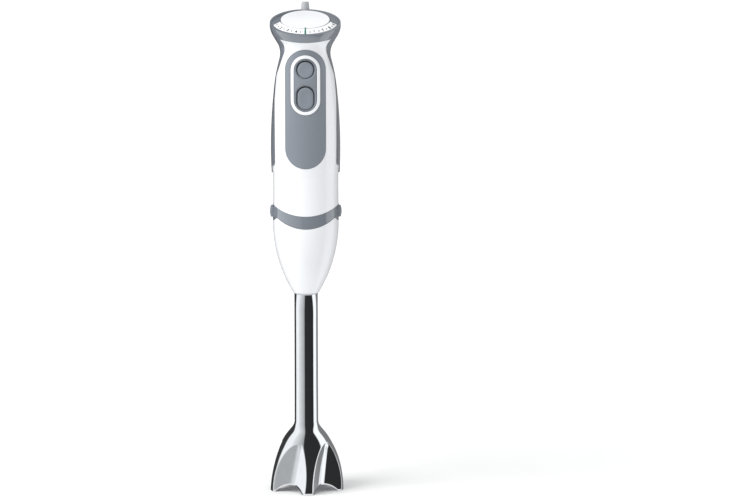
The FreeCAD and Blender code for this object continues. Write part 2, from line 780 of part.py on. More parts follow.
def bearings():
    bracket("lower_bearing_bracket", LOWER_BAR, LOWER_BAR, 9, False)
    bracket("upper_bearing_bracket", UPPER_BAR, UPPER_BAR, 9, True)
    for name, level in (("lower_motor_bearing", LOWER_BAR), ("upper_motor_bearing", UPPER_BAR)):
        node(name, tube(
            BEARING_RADIUS, S.spindle_radius + S.running_gap, BEARING_LENGTH, z=level + 1.25))
    bolts = []
    for side in (-1, 1):
        shank = cylinder(
            BOLT_RADIUS, UPPER_BAR + BAR_THICK - LOWER_BAR + 0.6, 0, side * BOLT_PLACE,
            LOWER_BAR - 0.1)
        head = cylinder(BOLT_RADIUS + 1, 1.4, 0, side * BOLT_PLACE, UPPER_BAR + BAR_THICK + 0.1)
        bolts.append(fuse(shank, head))
    node("motor_bolts", group(*bolts))


def stator():
    ring = tube(S.stator_radius, S.stator_radius - S.stator_ring, S.core_length, z=CORE)
    inside = S.armature_radius + S.air_gap
    reach = S.stator_radius - S.stator_ring / 2 - inside
    necks = [box(side * (inside + reach / 2), 0, CORE, reach, NECK, S.core_length)
             for side in (-1, 1)]
    shoe = tube(inside + SHOE, inside, S.core_length, z=CORE)
    shoes = cut(shoe, box(0, 0, CORE, SHOE_GAP, WIDE, S.core_length))
    bore = cylinder(inside, S.core_length, z=CORE)
    core = common(
        fuse(ring, shoes, cut(fuse(*necks), bore)),
        cylinder(S.stator_radius, S.core_length, z=CORE))
    node("motor_stator", core)

    for name, side in (("field_coil_left", -1), ("field_coil_right", 1)):
        middle = side * (inside + SHOE + S.fit_gap + COIL / 2)
        outside = box(middle, 0, CORE - COIL_OVER, COIL, COIL_WIDTH, S.core_length + 2 * COIL_OVER)
        room = box(middle, 0, CORE - S.fit_gap, COIL + 1, NECK + 2 * S.fit_gap,
                   S.core_length + 2 * S.fit_gap)
        node(name, cut(outside, room))


def brushes():
    """Carbon brushes either side of the commutator, in brass boxes under the upper bracket."""
    springs = []
    for name, side in (("left", -1), ("right", 1)):
        near = S.commutator_radius + 1.2
        length = 11.0
        middle = side * (near + length / 2)
        level = BRUSH - BRUSH_BOX / 2
        holder = cut(
            box(middle, 0, level, length, BRUSH_BOX, BRUSH_BOX),
            box(middle - side * 0.8, 0, level + 0.8, length, BRUSH_BOX - 1.6, BRUSH_BOX - 1.6))
        node(f"brush_holder_{name}", holder)
        start = S.commutator_radius + 0.1
        brush = box(side * (start + 3.6), 0, level + 0.9, 7.2, BRUSH_BOX - 1.8, BRUSH_BOX - 1.8)
        node(f"carbon_brush_{name}", cut(
            brush, cylinder(S.commutator_radius + 0.1, WIDE, z=level - 1)))
        springs.append(tube(
            1.9, 1.3, 3.1, side * (start + 7.3) - (3.1 if side < 0 else 0), 0, BRUSH, ALONG_X))
    node("brush_springs", group(*springs))


def spindle():
    foot = JOINT + SPINDLE_FOOT
    node("motor_shaft", cylinder(S.spindle_radius, UPPER_BAR + SPINDLE_TOP - foot, z=foot))
    socket = hexagon(HEX_FLATS + 2 * HEX_GAP, JOINT + 1, SPINDLE_FOOT - 0.5)
    node("drive_coupler", cut(
        cylinder(COUPLER_RADIUS, COUPLER_LENGTH, z=JOINT + 1), socket,
        cylinder(S.spindle_radius + PRESS_GAP, WIDE, z=foot)))


def armature():
    """The slotted iron core, with its windings in the slots and over both ends."""
    iron = tube(S.armature_radius, S.spindle_radius + PRESS_GAP, S.core_length, z=CORE)
    middle = S.armature_radius - SLOT_DEPTH
    mouth = S.armature_radius - SLOT_MOUTH * 0.6
    slots, bars = [], []
    for step in range(int(S.slot_count.value)):
        angle = 2 * math.pi * (step + 0.5) / S.slot_count.value
        x, y = math.cos(angle), math.sin(angle)
        slots.append(cylinder(SLOT_RADIUS, S.core_length, x * middle, y * middle, CORE))
        slots.append(cylinder(SLOT_MOUTH, S.core_length, x * mouth, y * mouth, CORE))
        bars.append(cylinder(
            SLOT_RADIUS - 0.1, S.core_length + 2, x * middle, y * middle, CORE - 1))
    node("armature_core", cut(iron, *slots))
    outside, inside = S.armature_radius - 0.8, S.spindle_radius + 1.5
    ends = [tube(outside, inside, END_TURNS - 0.05, z=level)
            for level in (CORE - END_TURNS, CORE_TOP + 0.05)]
    node("armature_windings", fuse(*ends, *bars))


def commutator():
    body = tube(
        S.commutator_radius, S.spindle_radius + PRESS_GAP, COMMUTATOR, z=COMMUTATOR_FOOT)
    grooves = [
        spoke(360 * step / S.slot_count.value, S.commutator_radius - 0.5, 1.2, 0.4,
              COMMUTATOR_FOOT + 1.6, COMMUTATOR)
        for step in range(int(S.slot_count.value))]
    node("commutator", cut(body, *grooves))


def fan():
    hub = cylinder(FAN_HUB, FAN_HEIGHT, z=FAN)
    plate = cylinder(S.fan_radius, 1, z=FAN + FAN_HEIGHT - 1)
    near = FAN_HUB - 0.5
    vanes = [
        spoke(360 * step / S.fan_blades.value, near, S.fan_radius - near, 1, FAN, FAN_HEIGHT)
        for step in range(int(S.fan_blades.value))]
    blades = common(fuse(*vanes), cylinder(S.fan_radius - 0.1, FAN_HEIGHT, z=FAN))
    node("cooling_fan", cut(
        fuse(hub, plate, blades), cylinder(S.spindle_radius + PRESS_GAP, WIDE, z=FAN - 10)))


def spoke(turn, near, length, width, foot, height):
    """A rib that points away from the axis, in a direction given in degrees."""
    item = doc.addObject("Part::Box", "spoke")
    bind(item, Length=length, Width=width, Height=height)
    angle, side = math.radians(turn), sized(width) / 2
    x = near * math.cos(angle) + side * math.sin(angle)
    y = near * math.sin(angle) - side * math.cos(angle)
    return place(item, x, y, foot, FreeCAD.Rotation(Z_AXIS, turn))


def hexagon(flats, level, height):
    """A hexagonal prism from its width across the flats."""
    item = doc.addObject("Part::Prism", "hexagon")
    item.Polygon = 6
    bind(item, Circumradius=sized(flats) / math.sqrt(3), Height=height)
    return place(item, 0, 0, level)


# Electrics ------------------------------------------------------------------------------------

def electrics():
    foot = MOTOR + S.carrier_height + BEAM_RISE + 0.3
    board_y = BEAM_Y
    board_top = COLLAR - 9
    node("circuit_board", box(0, board_y, foot, 28, BOARD, board_top - foot))
    back = board_y + BOARD / 2 + 0.1
    front = board_y - BOARD / 2 - 0.1
    node("capacitor", box(-6, back + 4, foot + 6, 12, 8, 16))
    node("triac", fuse(
        box(8, back + 2.2, foot + 6, 10, 4.4, 9), box(8, back + 0.6, foot + 14, 10, 1.2, 7)))
    for name, drop in (("power", S.power_drop), ("turbo", S.turbo_drop)):
        block = box(0, front - SWITCH / 2, COLLAR - drop - 4, 8, SWITCH, 8)
        bore = cylinder(PLUNGER + 0.3, SWITCH - 1, 0, front - SWITCH, COLLAR - drop, ALONG_Y)
        node(f"{name}_switch", cut(block, bore))


def buttons():
    """The two front buttons, each a dished cap with a plunger to its switch."""
    skin = revolved(solid_outline(0.5))
    switch_front = BEAM_Y - BOARD / 2 - 0.1 - SWITCH
    for name, drop, width, height, dish in (
            ("power", S.power_drop, S.power_width, S.power_width, 0.9),
            ("turbo", S.turbo_drop, S.turbo_width, S.turbo_height, 0.5)):
        radius = chord_radius(drop)
        cap_back = -(radius - 0.5 - S.button_depth)
        shape = button_shape(width, height, drop, sized(0), -40, 40 + cap_back)
        hollow = ball(28, 0, -(radius - 0.5) - 28 + dish, COLLAR - drop)
        cap = cut(common(shape, skin), hollow)
        reach = switch_front + 2.2 - cap_back
        plunger = cylinder(PLUNGER, reach + 0.6, 0, cap_back - 0.6, COLLAR - drop, ALONG_Y)
        node(f"{name}_button", fuse(cap, plunger))


def chord_radius(drop):
    """The front shell's radius level with a button: between shoulder and neck it falls evenly."""
    slope = (S.shoulder_radius - S.throat_radius) / (S.shoulder_drop - S.throat_drop)
    return S.throat_radius - S.cover_step + (sized(drop) - S.throat_drop) * slope


def release_buttons():
    for name, side in (("left", -1), ("right", 1)):
        outer = S.ring_radius - 0.2 + S.release_proud
        cap_length = S.release_proud + 4.5
        level = JOINT + S.release_foot
        crown = cylinder(
            CAP_CROWN, S.release_depth, side * (outer - CAP_CROWN), -S.release_depth / 2,
            level + S.release_height / 2, ALONG_Y)
        cap = common(
            box(side * (outer - cap_length / 2), 0, level, cap_length, S.release_depth,
                S.release_height),
            cylinder(outer, S.release_height, z=level),
            crown)
        arm_height = S.release_foot + S.release_height + 1.4
        arm = box(side * (S.ring_radius - 4.7), 0, JOINT - 2, 2, LATCH_DEPTH, arm_height)
        nose = box(side * (S.ring_radius - 4.2), 0, JOINT - 2, 2.4, LATCH_DEPTH, 1.6)
        node(f"release_button_{name}", fuse(cap, arm, nose))
        near = S.ring_radius - 5.85
        start = -near if side < 0 else near - SPRING
        node(f"latch_spring_{name}", tube(
            1.7, 1.2, SPRING, start, 0, JOINT + PLATE_RISE + PLATE_THICK + 2, ALONG_X))


# Head and dial --------------------------------------------------------------------------------

def head():
    inner = S.dial_radius + 0.45
    ring = revolved([
        (inner, 0.6), (S.scale_radius - 2.6, -(SEAT_DEPTH - 0.1)),
        (S.scale_radius, -(SEAT_DEPTH - 0.1)), (S.scale_radius, 0.0), (inner, S.scale_drop),
    ])
    node("scale_ring", tilt(ring))

    base_foot = -(SEAT_DEPTH + BASE_THICK)
    stem_hole = S.stem_radius + 0.4
    node("dial_base", tilt(revolved([
        (stem_hole, base_foot), (BASE_RADIUS, base_foot),
        (BASE_RADIUS, -(SEAT_DEPTH + 0.15)), (stem_hole, -(SEAT_DEPTH + 0.15))])))
    stem_bore = S.stem_radius + S.running_gap
    node("potentiometer", tilt(revolved([
        (stem_bore, base_foot - 6.5), (POT_RADIUS, base_foot - 6.5),
        (POT_RADIUS, base_foot - 0.15), (stem_bore, base_foot - 0.15)])))

    crown = (S.dial_radius * S.dial_radius + S.dial_dome * S.dial_dome) / (2 * S.dial_dome)
    top = S.scale_drop + 0.2
    bore = S.stem_radius + PRESS_GAP
    disc = revolved([
        (0, STEM_TOP), (bore, STEM_TOP), (bore, HUB_FOOT), (S.stem_radius + 2.2, HUB_FOOT),
        (S.stem_radius + 2.2, 0.3), (S.dial_radius, 0.3), (S.dial_radius, top, -crown),
        (0, top + S.dial_dome)])
    slot_foot = S.scale_drop - 0.3
    slot_end = S.dial_radius - 2.2
    slot = box(0, -(slot_end + 5), slot_foot, S.pointer_width + 0.1, 10, 3)
    node("speed_dial", tilt(cut(disc, slot)))
    node("dial_stem", tilt(revolved([
        (0, base_foot - 6), (S.stem_radius, base_foot - 6), (S.stem_radius, STEM_TOP - PRESS_GAP),
        (0, STEM_TOP - PRESS_GAP)])))
    rim = S.dial_radius + 0.3
    tip = S.scale_radius - 0.2
    node("dial_pointer", tilt(padded("YZ_Plane", [
        (-(slot_end + 0.1), slot_foot + 0.05), (-(slot_end + 0.1), S.scale_drop + 1.0),
        (-rim, S.scale_drop + 0.9), (-tip, 1.0), (-tip, 0.4), (-rim - 0.1, S.scale_drop + 0.3),
        (-rim, slot_foot + 0.05)], S.pointer_width)))

    node("cord_gland", place(revolved([
        (S.cord_bore, COLLAR + GLAND_FOOT), (S.gland_radius, COLLAR + GLAND_FOOT),
        (S.gland_radius, COLLAR + BOSS_RISE + GLAND_COLLAR),
        (S.cord_bore + GLAND_LIP, COLLAR + S.gland_rise),
        (S.cord_bore, COLLAR + S.gland_rise)]), 0, S.gland_back, 0))


# Blending shaft -------------------------------------------------------------------------------

def bell_chain(inset):
    tube_foot = S.bell_height
    return [
        (S.bell_radius - inset, 0, -(S.bell_curve - inset)),
        (S.bell_shoulder_radius - inset, tube_foot - S.bell_shoulder_drop - inset * 0.5,
         -S.bell_shoulder_curve),
        (S.tube_radius + S.bell_neck_step - inset, tube_foot - S.bell_neck_drop - inset),
    ]


def flute(step, grow):
    """One hollow between two legs: a cylinder outside the bell that leans as the legs sweep."""
    turn = 360 * step / S.leg_count.value - S.flute_turn.value
    foot, top = [
        ((reach + S.flute_radius) * math.sin(angle), -((reach + S.flute_radius) * math.cos(angle)))
        for reach, angle in ((S.flute_foot, math.radians(turn)),
                             (S.flute_top, math.radians(turn + S.flute_sweep.value)))]
    lean = FreeCAD.Vector(
        top[0].value - foot[0].value, top[1].value - foot[1].value, S.flute_height.value)
    below = 0.5  # how far the cylinder starts below the feet, as a share of the hollow's height
    return cylinder(
        S.flute_radius + grow, S.flute_height * 2,
        foot[0] - (top[0] - foot[0]) * below, foot[1] - (top[1] - foot[1]) * below,
        -(S.flute_height * below), FreeCAD.Rotation(Z_AXIS, lean))


def notch(step):
    """The arched notch in the rim under a hollow."""
    half = S.notch_width / 2
    radius = (half * half + S.notch_height * S.notch_height) / (2 * S.notch_height)
    turn = 360 * step / S.leg_count.value - S.flute_turn.value
    return cylinder(
        radius, WIDE, 0, 0, S.notch_height - radius,
        FreeCAD.Rotation(Z_AXIS, turn) * FreeCAD.Rotation(X_AXIS, 90))


def blending_shaft():
    """The tube and its bell, fluted between the legs, as one steel skin."""
    top = CONE_FOOT + S.tube_socket
    bore = S.tube_radius - S.tube_wall
    outer = bell_chain(sized(0))
    outer[2] = outer[2] + (S.bell_neck_curve,)
    inner = bell_chain(S.bell_wall)
    outside = revolved(
        [(0, 0)] + outer + [(S.tube_radius, S.bell_height), (S.tube_radius, top), (0, top)])
    inside = revolved(
        [(0, 0)] + inner
        + [(bore, S.bell_height - S.bell_neck_drop + 1), (bore, top), (0, top)])
    steps = range(int(S.leg_count.value))
    body = cut(outside, *[flute(step, 0) for step in steps])
    room = cut(inside, *[flute(step, S.bell_wall) for step in steps])
    node("blending_shaft", cut(body, room, *[notch(step) for step in steps]))

    seat = bore - 0.1
    foot = S.bell_height - BEARING_DROP
    housing_top = foot + HOUSING_LENGTH
    bush_foot = foot + SEAL_ROOM
    bush_top = bush_foot + S.bush_length + 0.1
    bush, seal = BUSH_RADIUS + S.running_gap, SEAL_RADIUS + S.running_gap
    lead = S.drive_radius + 1
    node("bearing_housing", revolved([
        (seal, foot), (seat - 1, foot), (seat, foot + 2), (seat, housing_top),
        (lead, housing_top), (lead, bush_top), (bush, bush_top), (bush, bush_foot - 0.1),
        (seal, bush_foot - 0.1)]))
    node("lower_bush", plain_bush(bush_foot))
    node("shaft_seal", tube(SEAL_RADIUS, S.drive_radius + S.running_gap, 3.6, z=foot + 0.6))


def plain_bush(level):
    return tube(BUSH_RADIUS, S.drive_radius + S.running_gap, S.bush_length, z=level)


def cone_chain(inset, foot_radius, foot):
    return [
        (foot_radius, foot, -(S.cone_curve - inset)), (S.cone_top_radius - inset, JOINT),
        (S.cone_top_radius - inset, JOINT + 14)]


def cone_parts():
    hole = S.tube_radius + 0.05
    outer = cone_chain(sized(0), S.tube_radius + S.cone_foot_wall, CONE_FOOT)
    inner = cone_chain(S.cone_wall, S.tube_radius + S.cone_throat_gap, CONE_FOOT + 8)
    skin = revolved(ring_outline(
        outer, [(hole, CONE_FOOT), (hole, CONE_FOOT + 6)] + inner))
    node("coupling_cone", cut(skin, joint_block(S.joint_gap)))

    socket_top = CONE_FOOT + S.tube_socket + 0.2
    bush_foot = socket_top + 4
    bush_top = bush_foot + S.bush_length
    socket = S.tube_radius + 0.1
    bush = BUSH_RADIUS + S.running_gap
    lead = S.drive_radius + 1.2
    sleeve = revolved([
        (socket, CONE_FOOT + SLEEVE_RISE), (SLEEVE, CONE_FOOT + SLEEVE_RISE),
        (SLEEVE, bush_foot - 2), (SLEEVE_FLANGE, bush_foot - 2),
        (SLEEVE_FLANGE, bush_foot), (SLEEVE - 2, bush_foot),
        (SLEEVE - 3, bush_top + 2), (lead, bush_top + 2), (lead, bush_top + 0.1),
        (bush, bush_top + 0.1), (bush, bush_foot - 0.1), (lead, bush_foot - 0.1),
        (lead, socket_top), (socket, socket_top)])
    room = revolved(
        [(0, CONE_FOOT + 8)] + cone_chain(
            S.cone_wall + S.fit_gap, S.tube_radius + S.cone_throat_gap - S.fit_gap, CONE_FOOT + 8)
        + [(0, JOINT + 14)])
    node("cone_sleeve", common(sleeve, room))
    node("upper_bush", plain_bush(bush_foot))


def blade_drive():
    foot = S.blade_level - 2
    node("drive_shaft", cylinder(S.drive_radius, JOINT + DRIVE_TOP - foot, z=foot))
    seat = S.drive_radius + PRESS_GAP
    node("shaft_coupler", cut(
        hexagon(HEX_FLATS, JOINT - HEX_DROP, HEX_DROP + DRIVE_TOP + 2),
        cylinder(seat, HEX_DROP + DRIVE_TOP + 0.1, z=JOINT - HEX_DROP)))

    hub_hole = cylinder(seat, 40, z=-5)
    hub = revolved([
        (0, foot - 1), (4.5, foot - 1), (5.5, S.blade_level - 0.05), (0, S.blade_level - 0.05)])
    upper = S.blade_level + S.blade_thick + 0.05
    collar = revolved([(0, upper), (5.5, upper), (4.2, upper + 7), (0, upper + 7)])
    node("blade_hub", cut(group(hub, collar), hub_hole))

    tip = S.flute_top - S.bell_wall - S.blade_gap
    wing = [
        (BLADE_WAIST, 0, -BLADE_FRONT), (BLADE_HEEL, tip - 3), (BLADE_TIP, tip, -BLADE_NOSE),
        (-BLADE_EDGE, tip - 4, BLADE_BACK)]
    other_wing = [(-sized(x), -sized(y), *bend) for x, y, *bend in wing]
    flat = padded("XY_Plane", wing + other_wing, S.blade_thick)
    place(flat, 0, 0, S.blade_level + S.blade_thick / 2)
    node("blade", cut(flat, cylinder(seat, 40, z=0)))


front_shells()
rear_shell()
coupling()
motor_frame()
bearings()
stator()
brushes()
spindle()
armature()
commutator()
fan()
electrics()
buttons()
release_buttons()
head()
blending_shaft()
cone_parts()
blade_drive()


# Finish ---------------------------------------------------------------------------------------

doc.recompute()
broken = [
    f"{item.Name} ({item.Label})" for item in doc.Objects
    if "Invalid" in item.State or "Error" in item.State
]
for item in nodes:
    if item.Shape.isNull() or not item.Shape.isValid():
        broken.append(item.Label)
if broken:
    raise RuntimeError("These objects failed: " + ", ".join(broken))

os.makedirs("parts", exist_ok=True)
for item in nodes:
    item.Shape.exportStep(f"parts/{item.Label}.step")
    print(item.Label, len(item.Shape.Solids), round(item.Shape.Volume, 1))
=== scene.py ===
import json
import math

import bmesh
import bpy
from mathutils import Matrix, Vector
from mathutils.geometry import delaunay_2d_cdt


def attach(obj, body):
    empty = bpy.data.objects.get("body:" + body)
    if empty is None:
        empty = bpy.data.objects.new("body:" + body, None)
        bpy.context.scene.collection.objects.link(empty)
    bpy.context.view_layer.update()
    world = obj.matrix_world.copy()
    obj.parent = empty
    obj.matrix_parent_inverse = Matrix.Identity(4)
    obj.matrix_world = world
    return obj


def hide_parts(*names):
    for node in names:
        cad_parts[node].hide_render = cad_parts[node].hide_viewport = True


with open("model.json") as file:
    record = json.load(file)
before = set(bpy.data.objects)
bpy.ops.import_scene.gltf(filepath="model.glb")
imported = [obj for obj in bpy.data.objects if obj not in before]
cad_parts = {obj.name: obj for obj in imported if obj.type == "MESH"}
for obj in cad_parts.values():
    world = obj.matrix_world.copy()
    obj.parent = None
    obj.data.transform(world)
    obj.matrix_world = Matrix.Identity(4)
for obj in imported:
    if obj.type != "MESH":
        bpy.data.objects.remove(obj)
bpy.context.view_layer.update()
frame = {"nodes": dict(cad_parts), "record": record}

# Sizes in metres, in the CAD's frame: +Z up, the controls face -Y ------------------------------

MM = 0.001
COLLAR = 377.0 * MM  # underside of the head collar
DIAL = 389.9 * MM  # centre of the dial's plane
HEAD_TILT = math.radians(17.4)
DIAL_PLANE = Matrix.Translation((0, 0, DIAL)) @ Matrix.Rotation(HEAD_TILT, 4, "X")

LEGS = 5
SECTOR = 2 * math.pi / LEGS
FLUTE_RADIUS = 22.0 * MM  # hollow between two legs
FLUTE_DEPTHS = (21.4 * MM, 20.3 * MM)  # bottom of a hollow to the axis, at the feet and its top
FLUTE_HEIGHT = 40.8 * MM
FLUTE_TURN = math.radians(-35)
FLUTE_SWEEP = math.radians(20.5)
FLANK_BEARINGS = (math.radians(-12), math.radians(-53))  # where the first hollow's flanks face
CREASE_SHARE = 0.95  # depth of a crease as a share of its rounded-out depth
CREASE_FADE = 1.3  # how soon the crease's rounding gives way along a flank
FLUTE_END = 1.2 * MM  # how round the hollows run out at the top
LEG_EDGE = 0.4 * MM  # how far the rounding of a leg's edge reaches along the surface
CREASE = 4.0 * MM  # and that of a hollow's crease
BELL_BLEND = 2.8 * MM  # reach up and down over which the bell's arcs run into one another
BELL_INSET = 0.02 * MM  # keeps the smooth bell inside the CAD's box
RIM_LIFT = 0.16 * MM  # and its rim above the ground
NOTCH_HEIGHT = 6.3 * MM
NOTCH_HALF = 13.5 * MM
STEEL = 0.9 * MM
TUBE = 9.75 * MM
TUBE_TOP = 172.0 * MM
TUBE_FOOT = 57.5 * MM
LEG_STEPS, FLANK_STEPS = 20, 22  # columns of the bell's mesh across a leg and a flank
SKIRT_ROWS, SHOULDER_ROWS, TUBE_ROWS = 44, 30, 4
BLEND_SAMPLES, EDGE_SAMPLES = 4, 6  # to either side, for the two roundings

TRIM_WIDTH = 24.6 * MM
TRIM_BAND = 2.95 * MM
TRIM_PROUD = 0.5 * MM
BEZEL_PROUD = 0.2 * MM
BEZEL_EDGE = 0.3 * MM  # how far in the bezel's edge starts to sink
WELL_BEVEL, WELL_DEPTH = 1.1 * MM, 1.7 * MM
TRIM_LEVELS = (315.6 * MM, 364.4 * MM)
SEAM = 0.15 * MM
POWER = {"level": COLLAR - 24.3 * MM, "width": 13.2 * MM, "height": 13.2 * MM, "dish": 0.75 * MM}
TURBO = {"level": COLLAR - 47.4 * MM, "width": 13.2 * MM, "height": 18.2 * MM, "dish": 0.55 * MM}
BUTTON_GAP = 0.6 * MM
BUTTON_DROP = 0.4 * MM  # how far a cap hangs below the middle of its hole
BUTTON_SUNK = 0.5 * MM

SCALE_RADIUS = 27.4 * MM
DIAL_RADIUS = 20.2 * MM
SCALE_DROP = 2.7 * MM
SCALE_SECTOR = math.radians(76)
SCALE_MARKS = 17
SCALE_SPREAD = 0.93  # share of the sector that the marks take up
SCALE_GAP = 0.45 * MM  # between the dial and the ring
MARK_INSET = 2.5 * MM  # middle of the marks, in from the ring's edge
MARK_LIFT = 0.09 * MM
INK_LIFT = 0.035 * MM
DOT_RADIUS, DOT_HEIGHT = 0.62 * MM, 0.04 * MM
NUMBER_SIZE = 3.9 * MM
NUMBER_WEIGHT = 0.13 * MM  # how much a number's strokes are thickened to each side
DIAL_EDGE = 0.7 * MM
POINTER_WIDTH = 1.1 * MM


# Meshes ---------------------------------------------------------------------------------------

def piece(name, verts, faces, material, matrix=None):
    """A smooth-shaded object from points and faces, with its normals facing out."""
    mesh = bpy.data.meshes.new(name)
    mesh.from_pydata([tuple(v) for v in verts], [], faces)
    work = bmesh.new()
    work.from_mesh(mesh)
    if matrix is not None:
        bmesh.ops.transform(work, matrix=matrix, verts=work.verts)
    bmesh.ops.recalc_face_normals(work, faces=work.faces)
    work.to_mesh(mesh)
    work.free()
    for polygon in mesh.polygons:
        polygon.use_smooth = True
    mesh.materials.append(material)
    item = bpy.data.objects.new(name, mesh)
    bpy.context.scene.collection.objects.link(item)
    return item


def finished(item):
    """Apply the object's modifiers to its mesh."""
    graph = bpy.context.evaluated_depsgraph_get()
    mesh = bpy.data.meshes.new_from_object(item.evaluated_get(graph))
    item.modifiers.clear()
    item.data = mesh
    return item


def thickened(item, thickness):
    """Give a surface a thickness, inwards."""
    modifier = item.modifiers.new("thickness", "SOLIDIFY")
    modifier.thickness = thickness
    modifier.offset = -1
    modifier.use_even_offset = True
    return finished(item)


def filleted(points, radius, steps=5):
    """Round the corners of a closed outline of (x, y) points by arcs."""
    outline = []
    count = len(points)
    for i, point in enumerate(points):
        here = Vector(point)
        before = (Vector(points[i - 1]) - here)
        after = (Vector(points[(i + 1) % count]) - here)
        if here.x < 1e-6:
            outline.append(here)
            continue
        half = before.angle(after) / 2
        reach = min(radius / math.tan(half), before.length * 0.45, after.length * 0.45)
        size = reach * math.tan(half)
        centre = here + (before.normalized() + after.normalized()).normalized() * (
            size / math.sin(half))
        start = here + before.normalized() * reach - centre
        end = here + after.normalized() * reach - centre
        sweep = start.angle_signed(end)
        for step in range(steps + 1):
            outline.append(centre + Matrix.Rotation(-sweep * step / steps, 2) @ start)
    return outline


def lathed(name, outline, material, matrix=None, count=144):
    """A closed outline of (radius, height) turned about Z. Points on the axis make a pole."""
    verts, rings = [], []
    for x, y in outline:
        if x < 1e-6:
            rings.append([len(verts)] * count)
            verts.append((0, 0, y))
            continue
        rings.append(list(range(len(verts), len(verts) + count)))
        for step in range(count):
            angle = 2 * math.pi * step / count
            verts.append((x * math.cos(angle), x * math.sin(angle), y))
    faces = []
    for i, lower in enumerate(rings):
        upper = rings[(i + 1) % len(rings)]
        for step in range(count):
            after = (step + 1) % count
            corners = [lower[step], lower[after], upper[after], upper[step]]
            face = [c for k, c in enumerate(corners) if c not in corners[:k]]
            if len(face) > 2:
                faces.append(face)
    return piece(name, verts, faces, material, matrix)


def softened(name, node, material, voxel, passes):
    """A copy of a CAD node with its edges rounded off."""
    mesh = frame["nodes"][node].data.copy()
    mesh.materials.clear()
    mesh.materials.append(material)
    item = bpy.data.objects.new(name, mesh)
    bpy.context.scene.collection.objects.link(item)
    remesh = item.modifiers.new("remesh", "REMESH")
    remesh.mode = "VOXEL"
    remesh.voxel_size = voxel
    remesh.use_smooth_shade = True
    smooth = item.modifiers.new("smooth", "SMOOTH")
    smooth.factor = 0.5
    smooth.iterations = passes
    return finished(item)


def arc_radius(level, foot, top, bend):
    """Radius at a height on an arc between two (radius, height) points. The arc swells outwards
    when bend is positive and is hollow when it is negative."""
    foot, top = Vector(foot), Vector(top)
    chord = top - foot
    left = Vector((-chord.y, chord.x)).normalized()
    side = math.copysign(1, bend)
    depth = math.sqrt(bend ** 2 - chord.length_squared / 4)
    centre = (foot + top) / 2 + left * side * depth
    return centre.x + side * math.sqrt(bend ** 2 - (level - centre.y) ** 2)


def smooth_step(value):
    value = min(max(value, 0.0), 1.0)
    return value * value * (3 - 2 * value)


GRIP = [
    ((27.7 * MM, 273.6 * MM), (25.8 * MM, 333.0 * MM), 430 * MM),
    ((25.8 * MM, 333.0 * MM), (23.0 * MM, 352.0 * MM), 143 * MM),
    ((23.0 * MM, 352.0 * MM), (20.8 * MM, 361.0 * MM), 2000 * MM),
    ((20.8 * MM, 361.0 * MM), (22.6 * MM, 373.1 * MM), -16.4 * MM),
]


def grip_radius(level):
    """Outside of the front shell."""
    for foot, top, bend in GRIP:
        if level <= top[1]:
            return arc_radius(level, foot, top, bend)
    return GRIP[-1][1][0]


def on_grip(x, z, proud):
    """A point in front of the shell's surface by proud."""
    radius = grip_radius(z)
    return Vector((x, -math.sqrt(max(radius ** 2 - x ** 2, 0)) - proud, z))


# Materials ------------------------------------------------------------------------------------

class Nodes:
    """A material's node tree, with short calls to add nodes and link them."""

    def __init__(self, name):
        self.material = bpy.data.materials.new(name)
        self.material.use_nodes = True
        self.tree = self.material.node_tree
        self.tree.nodes.clear()
        self.output = self.add("ShaderNodeOutputMaterial")

    def add(self, kind, **settings):
        node = self.tree.nodes.new(kind)
        for key, value in settings.items():
            setattr(node, key, value)
        return node

    def link(self, source, target):
        self.tree.links.new(source, target)

    def coordinates(self, stretch=(1, 1, 1)):
        """Object coordinates in metres, stretched."""
        source = self.add("ShaderNodeTexCoord")
        mapping = self.add("ShaderNodeMapping")
        mapping.inputs["Scale"].default_value = stretch
        self.link(source.outputs["Object"], mapping.inputs["Vector"])
        return mapping.outputs["Vector"]

    def noise(self, size, detail=3.0, stretch=(1, 1, 1)):
        """Noise whose features are about size metres across."""
        node = self.add("ShaderNodeTexNoise")
        node.inputs["Scale"].default_value = 1 / size
        node.inputs["Detail"].default_value = detail
        self.link(self.coordinates(stretch), node.inputs["Vector"])
        return node.outputs["Fac"]

    def remap(self, value, low, high):
        """Noise centred on a half, spread over a range."""
        node = self.add("ShaderNodeMapRange")
        node.inputs["From Min"].default_value = 0.3
        node.inputs["From Max"].default_value = 0.7
        node.inputs["To Min"].default_value = low
        node.inputs["To Max"].default_value = high
        self.link(value, node.inputs["Value"])
        return node.outputs["Result"]

    def blend(self, value, first, second):
        """Colour between two colours."""
        node = self.add("ShaderNodeMix", data_type="RGBA")
        colours = [socket for socket in node.inputs if socket.type == "RGBA"]
        colours[0].default_value = (*first, 1)
        colours[1].default_value = (*second, 1)
        self.link(value, node.inputs["Factor"])
        return [socket for socket in node.outputs if socket.type == "RGBA"][0]

    def bump(self, height, strength, depth, below=None):
        node = self.add("ShaderNodeBump")
        node.inputs["Strength"].default_value = strength
        node.inputs["Distance"].default_value = depth
        self.link(height, node.inputs["Height"])
        if below is not None:
            self.link(below, node.inputs["Normal"])
        return node.outputs["Normal"]

    def shader(self, colour, roughness, normal=None, **uniform):
        node = self.add("ShaderNodeBsdfPrincipled")
        self.link(colour, node.inputs["Base Color"])
        self.link(roughness, node.inputs["Roughness"])
        if normal is not None:
            self.link(normal, node.inputs["Normal"])
        for name, value in uniform.items():
            node.inputs[name.replace("_", " ")].default_value = value
        self.link(node.outputs["BSDF"], self.output.inputs["Surface"])
        return self.material


def shade(colour, factor):
    """A lighter or darker shade of a colour."""
    return tuple(min(channel * factor, 1.0) for channel in colour)


